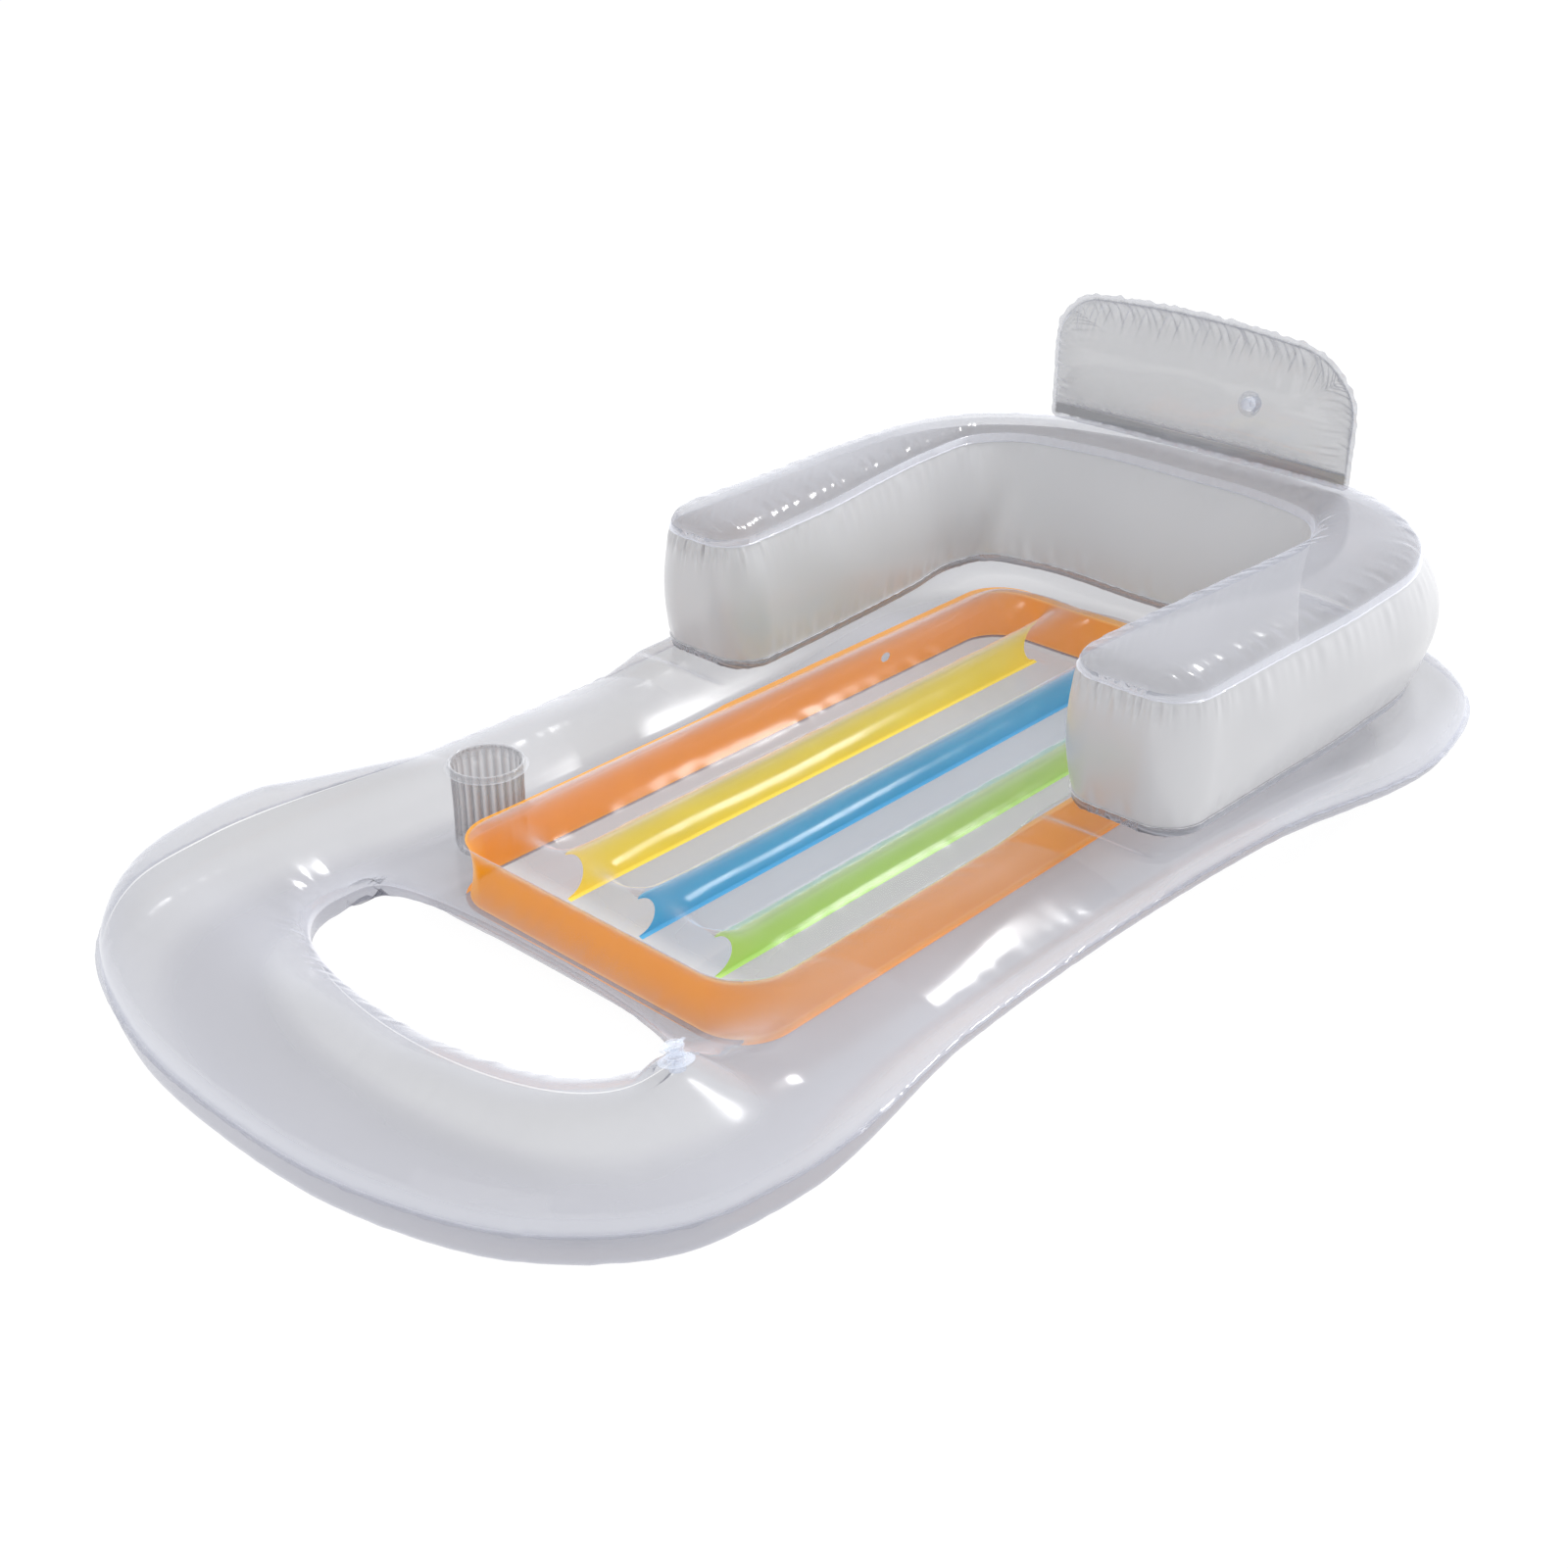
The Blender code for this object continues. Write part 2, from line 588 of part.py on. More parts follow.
def build_cup_holder(top_sheet):
    """Sleeve hung from a lip on the top sheet, and the disc that closes its foot."""
    outer_radius = CUP_RADIUS + FILM
    lip_radius = outer_radius + CUP_LIP
    rim = highest_under((TOP_RING, TOP_BRIDGE, TOP_PANEL), cup_places(lip_radius)) + FILM + GAP
    foot = highest_under((BOTTOM_RING, BOTTOM_BRIDGE, BOTTOM_PANEL), cup_places(outer_radius)) + GAP
    profile = ((lip_radius, rim + FILM), (lip_radius, rim), (outer_radius, rim), (outer_radius, foot),
               (CUP_RADIUS, foot), (CUP_RADIUS, rim + FILM))
    sleeve = turned("cup_holder_sleeve", profile, SMOKE_FILM, steps=CUP_STEPS)
    sleeve.location = (CUP_X, CUP_Y, 0)
    bpy.ops.mesh.primitive_cylinder_add(radius=CUP_RADIUS - GAP, depth=CUP_FLOOR, vertices=CUP_STEPS,
                                        location=(CUP_X, CUP_Y, foot + CUP_FLOOR / 2))
    disc = bpy.context.object
    disc.name = "cup_holder_floor"
    disc.data.materials.append(SMOKE_FILM)
    move_to_parts(disc)
    hole = rod("cup_hole", outer_radius + GAP, BASE_WIDTH, steps=CUP_STEPS)
    hole.location = (CUP_X, CUP_Y, BASE_WIDTH / 2)
    cut(top_sheet, hole)


def move_to_parts(piece):
    """Take a primitive out of the scene's own collection and into the parts."""
    for collection in list(piece.users_collection):
        collection.objects.unlink(piece)
    PARTS.objects.link(piece)


# Bolster


def bolster_curve(shares):
    """One seam of the bolster in plan, from an arm's front to the middle of the back."""
    points = [(x * BOLSTER_HALF_WIDTH, lerp(ARM_FRONT, BACK_REAR, y)) for x, y in shares]
    return SmoothCurve(points, ghost_end=mirrored_point(points[-2]))


def bolster_plan(inner_shares, outer_shares):
    """Grid between two seams: rows from an arm's front to the back, columns from inside to outside."""
    inner, outer = bolster_curve(inner_shares), bolster_curve(outer_shares)
    angle = np.linspace(0, pi, BOLSTER_STEPS + 1)
    share = np.tile((1 - np.cos(angle)) / 2, (BOLSTER_ROWS + 1, 1))
    front = np.array([0, BOLSTER_CORNER / 3, BOLSTER_CORNER])
    rest = BOLSTER_ROWS + 1 - len(front)
    inner_places = np.concatenate([front, np.linspace(front[-1], inner.length, rest + 1)[1:]])
    outer_places = np.concatenate([front, np.linspace(front[-1], outer.length, rest + 1)[1:]])
    width = np.linalg.norm(outer.at(outer_places) - inner.at(inner_places), axis=1)[:, None]
    near_side = np.minimum(share, 1 - share) * width
    into_side = BOLSTER_CORNER - near_side
    into_front = np.broadcast_to(BOLSTER_CORNER - outer_places[:, None], share.shape)
    inside = (into_side > 0) & (into_front > 0)
    distance = np.where(inside, np.hypot(into_side, into_front), 1)
    kept = np.where(inside, np.maximum(into_side, into_front) / distance, 1)
    sideways = np.where(inside, into_side * (1 - kept), 0) / width
    share = share + np.where(share < 0.5, sideways, -sideways)
    onwards = np.where(inside, into_front * (1 - kept), 0)
    start = inner.at(inner_places[:, None] + onwards)
    end = outer.at(outer_places[:, None] + onwards)
    plan = lerp(start, end, share[..., None])
    plan[-1, :, 0] = 0
    return plan


def bolster_swell():
    """Swell of the bolster's top or bottom: none at the seams and the front, full along the middle."""
    across = np.sin(np.linspace(0, pi, BOLSTER_STEPS + 1))
    along = np.ones(BOLSTER_ROWS + 1)
    along[:3] = np.sin(np.linspace(0, pi / 2, 4))[:3]
    across[-1] = 0
    return along[:, None] * across[None, :]


def around(grid):
    """Edge of a bolster grid: along the inside to the front, across it, and back along the outside."""
    return np.concatenate([grid[::-1, 0], grid[0, 1:], grid[1:, -1]])


def bolster_grids():
    """Inner faces of the bolster's top sheet, bottom sheet and wall."""
    high = bolster_plan(INNER_HIGH_SHARES, OUTER_HIGH_SHARES)
    low = bolster_plan(INNER_LOW_SHARES, OUTER_LOW_SHARES)
    swell = bolster_swell()
    top = stacked(high, BOLSTER_SEAM_HIGH + GAP / 2 + BOLSTER_CROWN * swell)
    rest = BOLSTER_SEAT + GAP / 2 + 2 * FILM + GAP
    bottom = stacked(low, np.maximum(BOLSTER_SEAM_LOW - GAP / 2 - SKIRT_BULGE * swell, rest))
    low_edge, high_edge = around(low), around(high)
    share = np.linspace(0, 1, WALL_STEPS + 1)[None, :]
    plan = lerp(low_edge[:, None], high_edge[:, None], share[..., None])
    swell = np.sin(pi * share)
    swell[:, -1] = 0
    middle = (low_edge + high_edge) / 2
    outside = (np.arange(len(middle)) > len(high) + BOLSTER_STEPS).astype(float)
    rearward = np.interp(middle[:, 1], (ARM_FRONT + BOLSTER_CORNER, BACK_REAR - BOLSTER_CORNER), (0, 1))
    bulge = WALL_BULGE + (REAR_BULGE - WALL_BULGE) * rearward * outside
    plan = plan + outward(middle)[:, None] * (bulge[:, None] * swell)[..., None]
    heights = lerp(BOLSTER_SEAM_LOW + GAP / 2, BOLSTER_SEAM_HIGH - GAP / 2, share)
    wall = stacked(plan, np.broadcast_to(heights, plan.shape[:2]))
    return top, bottom, wall


BOLSTER_TOP, BOLSTER_BOTTOM, BOLSTER_WALL = bolster_grids()


def build_bolster():
    """Wall, top and bottom of the chamber that makes both armrests and the backrest."""
    film_sheet("bolster_top_sheet", (BOLSTER_TOP,), CLEAR_FILM, flipped=True)
    film_sheet("bolster_bottom_sheet", (BOLSTER_BOTTOM,), CLEAR_FILM)
    return film_sheet("bolster_wall", (BOLSTER_WALL,), PEARL_FILM)


# Headrest


def headrest_axis():
    """Middle of the weld that the headrest leans on, just clear of the bolster's crown."""
    y = BOLSTER_TOP[-1, BOLSTER_STEPS // 3, 1]
    x = np.linspace(0, HEADREST_HALF_WIDTH + HEADREST_FLANGE, 4 * HEADREST_STEPS)
    places = [(across, along) for across in x for along in (y - FILM - GAP, y + FILM + GAP)]
    return np.array((0, y, highest_under((BOLSTER_TOP,), places) + FILM + GAP))


HEADREST_AXIS = headrest_axis()


def headrest_grid(side):
    """Inner face of one headrest sheet, +X half: a crowned pillow inside a flat flange."""
    across = np.append(np.linspace(0, HEADREST_HALF_WIDTH, HEADREST_STEPS + 1),
                       HEADREST_HALF_WIDTH + HEADREST_FLANGE)
    up = np.concatenate([[0], HEADREST_FLANGE + np.linspace(0, HEADREST_HEIGHT, HEADREST_ROWS + 1),
                         [HEADREST_HEIGHT + 2 * HEADREST_FLANGE]])
    x, z = np.meshgrid(across, up, indexing="ij")
    u = np.clip(x / HEADREST_HALF_WIDTH, 0, 1)
    v = np.clip((z - HEADREST_FLANGE) / HEADREST_HEIGHT, 0, 1)
    crown = np.sqrt(1 - u ** 4) * np.maximum(np.sin(pi * v), 0) ** 0.6
    crown[:, [0, 1, -2, -1]] = 0
    x, z = round_corner(x, z, HEADREST_HALF_WIDTH - HEADREST_CORNER,
                        HEADREST_HEIGHT + HEADREST_FLANGE - HEADREST_CORNER)
    z = z * (1 - HEADREST_ARCH_SHARE * (x / HEADREST_HALF_WIDTH) ** 2)
    y = side * (GAP / 2 + HEADREST_BULGE * crown)
    return np.stack([x, y, z], axis=-1) + HEADREST_AXIS


HEADREST_FRONT, HEADREST_BACK = headrest_grid(-1), headrest_grid(1)


def build_headrest():
    """Two sheets welded round their edge, carried by the weld along the bolster's crest."""
    hinge = joint_guide("headrest_hinge", place=HEADREST_AXIS)
    front = film_sheet("headrest_front_sheet", (HEADREST_FRONT,), CLEAR_FILM)
    back = film_sheet("headrest_back_sheet", (HEADREST_BACK,), CLEAR_FILM, flipped=True)
    for sheet in (front, back):
        sheet.data.transform(Matrix.Translation(-Vector(HEADREST_AXIS)))
        sheet.parent = hinge
    return hinge, back


# Air valves


def seat_frame(grid, column, row, flipped, hinge_towards):
    """Frame on a sheet's outer face, at the middle of one grid cell: Z out, X away from the strap's fold."""
    corners = grid[column:column + 2, row:row + 2].reshape(-1, 3)
    centre = corners.mean(axis=0)
    normal = np.cross(corners[3] - corners[0], corners[1] - corners[2])
    normal = normal / np.linalg.norm(normal) * (-1 if flipped else 1)
    nearby = surface_points(grid, centre)
    raise_by = max(float(((nearby - centre) @ normal).max()), 0) + FILM + GAP
    z_axis = Vector(normal)
    x_axis = (-Vector(hinge_towards) + z_axis * z_axis.dot(Vector(hinge_towards))).normalized()
    y_axis = z_axis.cross(x_axis)
    frame = Matrix((x_axis, y_axis, z_axis)).transposed().to_4x4()
    frame.translation = Vector(centre) + z_axis * raise_by
    return frame


def surface_points(grid, centre):
    """Points spread over the faces of a sheet within a valve flange of a centre."""
    shares = np.linspace(0, 1, ROUND_STEPS)
    a, b = np.meshgrid(shares, shares, indexing="ij")
    a, b = a[a + b <= 1], b[a + b <= 1]
    faces = grid_faces(grid, False)
    spread = (faces[:, None, 0] + a[None, :, None] * (faces[:, None, 1] - faces[:, None, 0])
              + b[None, :, None] * (faces[:, None, 2] - faces[:, None, 0])).reshape(-1, 3)
    near = np.linalg.norm(spread - centre, axis=1) < VALVE_FLANGE_RADIUS + GAP
    return spread[near]


def build_flange(name, frame, parent):
    """Welded disc with a collar that guides the stem."""
    bore = STEM_RADIUS + GAP
    profile = ((VALVE_COLLAR_RADIUS, VALVE_COLLAR_HEIGHT), (VALVE_COLLAR_RADIUS, VALVE_FLANGE_THICKNESS),
               (VALVE_FLANGE_RADIUS, VALVE_FLANGE_THICKNESS), (VALVE_FLANGE_RADIUS, 0), (bore, 0),
               (bore, VALVE_COLLAR_HEIGHT))
    flange = turned(name + "_valve_flange", profile, VALVE_VINYL)
    flange.parent = parent
    flange.matrix_world = frame


def build_stem(name, slide):
    """Push-in tube with a rim, and the lug that its plug's strap folds on."""
    rim_foot = STEM_OUTSIDE - STEM_RIM
    profile = ((STEM_RIM_RADIUS, STEM_OUTSIDE), (STEM_RIM_RADIUS, rim_foot), (STEM_RADIUS, rim_foot),
               (STEM_RADIUS, -STEM_INSIDE), (STEM_BORE, -STEM_INSIDE), (STEM_BORE, STEM_OUTSIDE))
    stem = turned(name + "_valve_stem", profile, VALVE_VINYL)
    stem.parent = slide
    lug = block(name + "_lug", (-HINGE_REACH + 2 * HINGE_RADIUS, -STRAP_WIDTH / 2, rim_foot + GAP),
                (-STEM_RADIUS, STRAP_WIDTH / 2, STEM_OUTSIDE - GAP))
    lug.parent = slide
    cut(stem, lug, "UNION")


def build_plug(name, slide):
    """Cap with a tapered stopper and a finger tab, on a strap that folds beside the stem."""
    hinge_height = STEM_OUTSIDE - STEM_RIM / 2
    fold = Vector((-HINGE_REACH, 0, hinge_height))
    hinge = joint_guide(name + "_plug_hinge", slide, fold)
    cap_foot = STEM_OUTSIDE + GAP
    cap_top = cap_foot + PLUG_CAP
    stopper_foot = cap_foot - STOPPER_LENGTH
    profile = ((0, cap_top), (PLUG_RADIUS, cap_top), (PLUG_RADIUS, cap_foot), (STOPPER_RADIUS, cap_foot),
               (STOPPER_TIP_RADIUS, stopper_foot), (0, stopper_foot))
    plug = turned(name + "_valve_plug", profile, VALVE_VINYL, closed=False)
    plug.parent = hinge
    plug.location = -fold
    strap = block(name + "_strap", (-HINGE_REACH, -STRAP_WIDTH / 2, cap_top - STRAP_THICKNESS),
                  (-STOPPER_RADIUS, STRAP_WIDTH / 2, cap_top - GAP))
    knuckle = block(name + "_knuckle",
                    (-HINGE_REACH - HINGE_RADIUS, -STRAP_WIDTH / 2, hinge_height - HINGE_RADIUS),
                    (-HINGE_REACH + STRAP_THICKNESS / 2, STRAP_WIDTH / 2, cap_top - STRAP_THICKNESS / 2))
    tab = block(name + "_tab", (STOPPER_RADIUS, -STRAP_WIDTH / 2, cap_foot + GAP),
                (PLUG_RADIUS + TAB_LENGTH, STRAP_WIDTH / 2, cap_foot + STRAP_THICKNESS))
    for tool in (strap, knuckle, tab):
        tool.parent = slide
        cut(plug, tool, "UNION")


def build_flap(name, slide):
    """Soft disc that closes the inner end of the stem."""
    hinge = joint_guide(name + "_flap_hinge", slide, (FLAP_RADIUS, 0, -STEM_INSIDE - GAP))
    bpy.ops.mesh.primitive_cylinder_add(radius=FLAP_RADIUS, depth=FLAP_THICKNESS, vertices=ROUND_STEPS)
    flap = bpy.context.object
    flap.name = name + "_valve_flap"
    flap.data.materials.append(VALVE_VINYL)
    move_to_parts(flap)
    flap.parent = hinge
    flap.location = (-FLAP_RADIUS, 0, -FLAP_THICKNESS / 2)


def build_valve(name, sheet, frame, parent=None):
    """One air valve on a sheet: flange, stem, plug and flap, and the hole they pass through."""
    slide = joint_guide(name + "_valve_slide", parent)
    slide.matrix_world = frame
    bpy.context.view_layer.update()
    build_flange(name, frame, slide)
    build_stem(name, slide)
    build_plug(name, slide)
    build_flap(name, slide)
    hole = rod(name + "_valve_hole", STEM_RADIUS + 2 * GAP, 2 * VALVE_FLANGE_RADIUS)
    hole.matrix_world = frame
    if parent:
        hole.parent = parent
        hole.matrix_parent_inverse = parent.matrix_world.inverted()
    cut(sheet, hole)


def build_lounger():
    """Everything, from the base up."""
    base_top = build_base()
    build_band()
    build_beam("yellow_beam", PANEL_STEPS // 2, -1, YELLOW_FILM)
    build_beam("blue_beam", 0, 1, BLUE_FILM)
    build_beam("green_beam", PANEL_STEPS // 2, 1, GREEN_FILM)
    build_cup_holder(base_top)
    wall = build_bolster()
    headrest_hinge, headrest_back = build_headrest()
    bpy.context.view_layer.update()
    opening_column = PANEL_STEPS - 1
    build_valve("base", base_top, seat_frame(TOP_RING, opening_column, RING_STEPS_TOP - 2, False, (0, -1, 0)))
    rear_column = len(BOLSTER_WALL) - 2
    build_valve("bolster", wall, seat_frame(BOLSTER_WALL, rear_column, WALL_STEPS // 2, False, (0, 0, -1)))
    build_valve("headrest", headrest_back,
                seat_frame(HEADREST_BACK, 1, HEADREST_ROWS // 2, True, (0, 0, -1)), headrest_hinge)


build_lounger()
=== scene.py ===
"""Looks of an inflatable pool lounger: welded clear and pearl films, coloured beams, cup holder,
headrest and air valves. Metres, +Z up, foot end at -Y, the cup holder on the -X side.
"""

import json

import bmesh
import bpy
import numpy as np
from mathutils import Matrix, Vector


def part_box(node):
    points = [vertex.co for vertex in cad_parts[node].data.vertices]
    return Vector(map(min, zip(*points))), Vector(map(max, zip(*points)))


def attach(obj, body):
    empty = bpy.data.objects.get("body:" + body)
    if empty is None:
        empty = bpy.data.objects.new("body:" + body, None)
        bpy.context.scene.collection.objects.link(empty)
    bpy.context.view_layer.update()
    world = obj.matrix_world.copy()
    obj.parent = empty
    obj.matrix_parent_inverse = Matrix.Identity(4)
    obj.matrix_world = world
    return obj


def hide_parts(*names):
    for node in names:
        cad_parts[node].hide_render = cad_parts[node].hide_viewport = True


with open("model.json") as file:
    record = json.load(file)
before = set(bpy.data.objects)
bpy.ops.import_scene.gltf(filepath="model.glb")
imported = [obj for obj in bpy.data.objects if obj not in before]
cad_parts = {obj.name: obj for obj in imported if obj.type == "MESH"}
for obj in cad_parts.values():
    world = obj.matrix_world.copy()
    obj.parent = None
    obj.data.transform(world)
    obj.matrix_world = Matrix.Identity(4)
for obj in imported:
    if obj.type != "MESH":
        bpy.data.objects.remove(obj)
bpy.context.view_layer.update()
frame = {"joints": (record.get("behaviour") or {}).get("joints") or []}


# Top film of the base: one sheet of clear PVC, 0.3 mm thick. It is welded to the bottom film along
# the outer seam and round the foot opening, and to the orange band and the coloured beams inside
# the panel. Air lifts it into a fat ring outside the panel and into channels between the beams.

WELD_EDGE = 0.005                   # flat edge left outside the outer seam
FILM_GAP = 0.0006                   # between films that lie on each other
base_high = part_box("base_top_sheet")[1]
SEAM_HALF_WIDTH = base_high[0] - WELD_EDGE
SEAM_HALF_LENGTH = base_high[1] - WELD_EDGE

# Heights of the welds, and of the film between them
OUTER_SEAM = 0.060
OPENING_SEAM = 0.050
BAND_SEAM = 0.066
BEAM_SEAMS = (0.060, 0.051, 0.052)  # yellow, blue and green
CHANNEL_CREST = 0.083
BRIDGE_RISE = 0.016                 # over the welds of the foot opening and the panel
SEAT_HEIGHT = 0.0855                # the ring is pressed flat under the armrests
OPEN_LIMIT = 0.20                   # above every crest, so that the ring is free before the armrests
LIMIT_SOFTNESS = 0.004              # how gently the film flattens at its limit

# Outer seam of the +X half: x as shares of the seam's half width, y of its half length
OUTLINE_SHARES = ((0, -1), (0.37, -0.980), (0.69, -0.905), (0.87, -0.790), (0.915, -0.674),
                  (0.868, -0.330), (0.862, -0.127), (0.90, 0.287), (1, 0.668), (0.906, 0.838),
                  (0.56, 0.971), (0, 1))
FOOT_ANCHOR = 4                     # point of that outline beside the opening's end
HEAD_ANCHOR = 8                     # point where the head's corner starts

OPENING_HALF_WIDTH = 0.220
OPENING_Y = -0.495                  # of its widest line
OPENING_TO_FOOT = 0.109
OPENING_TO_PANEL = 0.065
NEAR_ROUND_SHARE = 0.85             # 1 gives a half ellipse, less a squarer side
FAR_ROUND_SHARE = 0.45

PANEL_HALF_WIDTH = 0.2126
PANEL_FOOT = -0.372
PANEL_HEAD = 0.553
PANEL_CORNER = 0.055
BEAM_SPACING = PANEL_HALF_WIDTH / 2
BEAM_FOOT_END = PANEL_FOOT + 0.070
BEAM_HEAD_END = PANEL_HEAD - 0.049
ARM_FRONT = 0.085                   # front of the armrests, which press on the ring
SEAT_START = ARM_FRONT - 0.14       # the ring sinks to its seat between these places
SEAT_END = ARM_FRONT - 0.02

# Crest of the ring and how round it is, at places along the lounger
RING_PLACES = (-0.4725, -0.2835, 0.0, 0.063)
TOP_CRESTS = (0.120, 0.090, 0.090, 0.110)
TOP_FULLNESS = (0.17, 0.30, 0.30, 0.17)
PANEL_FULLNESS = 0.42
RING_SLACK = 0.0018                 # slow hills and dips of the film away from its welds
PANEL_SLACK = 0.0010

# Puckers square to the outer seam, the opening and the rim: depth, reach, waves and seed of each
RING_STROKES = ((0.0003, 0.010, 120, 21), (0.0008, 0.010, 50, 22), (0.0003, 0.012, 80, 23))
RIM_STROKES = (0.0002, 0.010, 60, 31)
BEAM_STROKES = (0.0003, 0.010, 16, 41)

FOOT_STEPS = 190                    # columns round half of the ring: foot, connector, side, head
CONNECTOR_STEPS = 16
SIDE_STEPS = 300
PANEL_STEPS = 96
RING_ROWS = 28
CHUNK = 4000                        # places set against a whole seam at once, to save memory


class SeamLine:
    """A plane line through chosen points, read by chord length from its first point: between two
    points it is the cubic whose end slopes are those of the chords beside them."""

    def __init__(self, points, before=None, after=None):
        chain = [p for p in (before, *points, after) if p is not None]
        self.points = np.array(chain, float)
        chords = np.linalg.norm(np.diff(self.points, axis=0), axis=1)
        self.first = 0 if before is None else 1
        knots = np.concatenate([[0], np.cumsum(chords)])
        self.knots = knots - knots[self.first]
        self.length = self.knots[-1] if after is None else self.knots[-2]
        self.slopes = np.gradient(self.points, self.knots, axis=0)

    def knot(self, index):
        """Place of one of the chosen points."""
        return self.knots[index + self.first]

    def at(self, places):
        """Points at an array of places."""
        places = np.asarray(places, float)
        span = np.clip(np.searchsorted(self.knots, places, side="right") - 1, 0, len(self.knots) - 2)
        length = (self.knots[span + 1] - self.knots[span])[..., None]
        f = (places - self.knots[span])[..., None] / length
        return ((1 + 2 * f) * (1 - f) ** 2 * self.points[span]
                + f * (1 - f) ** 2 * length * self.slopes[span]
                + f ** 2 * (3 - 2 * f) * self.points[span + 1]
                + f ** 2 * (f - 1) * length * self.slopes[span + 1])


def lerp(start, end, share):
    """Value part of the way between two others."""
    return start + (end - start) * share


def crowded_ends(steps):
    """Shares from 0 to 1, closest together at both ends: half of one less a cosine."""
    return (1 - np.cos(np.linspace(0, np.pi, steps + 1))) / 2


def round_corner(x, y, centre_x, centre_y, towards=1):
    """Turn the square corner beyond a centre into a quarter circle; everything else stays."""
    dx = x - centre_x
    dy = (y - centre_y) * towards
    inside = (dx > 0) & (dy > 0)
    scale = np.where(inside, np.maximum(dx, dy) / np.where(inside, np.hypot(dx, dy), 1), 1)
    return np.where(inside, centre_x + dx * scale, x), np.where(inside, centre_y + dy * scale * towards, y)


def panel_plan():
    """Plan grid of the panel's +X half: columns from the centre line out, rows from foot to head."""
    x, y = np.meshgrid(np.linspace(0, PANEL_HALF_WIDTH, PANEL_STEPS + 1),
                       np.linspace(PANEL_FOOT, PANEL_HEAD, SIDE_STEPS + 1), indexing="ij")
    corner_x = PANEL_HALF_WIDTH - PANEL_CORNER
    x, y = round_corner(x, y, corner_x, PANEL_HEAD - PANEL_CORNER)
    x, y = round_corner(x, y, corner_x, PANEL_FOOT + PANEL_CORNER, towards=-1)
    return np.stack([x, y], axis=-1)


def opening_edge(depth, roundness, steps):
    """Half of one side of the foot opening, with points closer together towards its end: the sine
    gives x, a power of the cosine gives y."""
    angle = np.pi / 2 * (1 - (1 - np.linspace(0, 1, steps + 1)) ** 2)
    across = np.maximum(np.cos(angle), 0) ** roundness
    across[-1] = 0
    return np.stack([OPENING_HALF_WIDTH * np.sin(angle), OPENING_Y + depth * across], axis=-1)


PANEL = panel_plan()
OPENING_NEAR = opening_edge(-OPENING_TO_FOOT, NEAR_ROUND_SHARE, FOOT_STEPS)
OPENING_FAR = opening_edge(OPENING_TO_PANEL, FAR_ROUND_SHARE, PANEL_STEPS)
BRIDGE = lerp(OPENING_FAR[:, None], PANEL[:, :1], np.linspace(0, 1, CONNECTOR_STEPS + 1)[:, None])


def seam_line():
    """Outer seam of the +X half, with its slopes level on the centre line."""
    points = np.array(OUTLINE_SHARES) * (SEAM_HALF_WIDTH, SEAM_HALF_LENGTH)
    return SeamLine(points, points[1] * (-1, 1), points[-2] * (-1, 1))


def ring_edges():
    """Inner and outer edge of the ring, point for point, from foot to head round the +X side."""
    side = np.concatenate([BRIDGE[-1, :-1], PANEL[-1]])
    inner = np.concatenate([OPENING_NEAR[:-1], side, PANEL[-2::-1, -1]])
    line = seam_line()
    start, end = line.knot(FOOT_ANCHOR), line.knot(HEAD_ANCHOR)
    steps = np.concatenate([[0], np.cumsum(np.linalg.norm(np.diff(side, axis=0), axis=1))])
    places = np.concatenate([np.linspace(0, start, FOOT_STEPS + 1)[:-1],
                             lerp(start, end, steps / steps[-1]),
                             np.linspace(end, line.length, PANEL_STEPS + 1)[1:]])
    outer = line.at(places)
    outer[[0, -1], 0] = 0
    return inner, outer


RING_INNER, RING_OUTER = ring_edges()
RING = lerp(RING_OUTER[:, None], RING_INNER[:, None], crowded_ends(RING_ROWS)[:, None])
RIM_LINE = np.concatenate([PANEL[:, 0], PANEL[-1, 1:], PANEL[-2::-1, -1]])
OPENING_LINE = np.concatenate([OPENING_NEAR[:-1], OPENING_FAR[::-1]])


def nearest_on(line, places):
    """Distance of each place from a chain of points, and how far along the chain its nearest point
    is, as a share of the whole. Each place is set against every stretch of the chain."""
    flat = places.reshape(-1, 2)
    start, step = line[:-1], np.diff(line, axis=0)
    length = np.linalg.norm(step, axis=1)
    before = np.concatenate([[0], np.cumsum(length)])
    gaps, runs = [], []
    for some in np.array_split(flat, max(1, len(flat) // CHUNK)):
        away = some[:, None] - start
        share = np.clip((away * step).sum(axis=-1) / length ** 2, 0, 1)
        gap = np.linalg.norm(away - share[..., None] * step, axis=-1)
        best = gap.argmin(axis=1)
        rows = np.arange(len(some))
        gaps.append(gap[rows, best])
        runs.append(before[best] + share[rows, best] * length[best])
    shape = places.shape[:-1]
    return np.concatenate(gaps).reshape(shape), np.concatenate(runs).reshape(shape) / before[-1]


def stretched(heights, gaps, rises, fullness):
    """Height of film held at some welds and lifted by air between them. A weld's pull is one over
    its distance squared, as a share of all pulls. The welds' heights are mixed by their shares, and
    each pair of welds adds its rise, by the product of their shares to the power of the fullness."""
    pull = 1 / np.maximum(np.stack(gaps), 1e-9) ** 2
    share = pull / pull.sum(axis=0)
    level = sum(height * part for height, part in zip(heights, share))
    holds = {pair: 4 * share[pair[0]] * share[pair[1]] for pair in rises}
    total = sum(holds.values())
    rise = sum(rises[pair] * hold for pair, hold in holds.items()) / np.maximum(total, 1e-30)
    return level + rise * total ** fullness


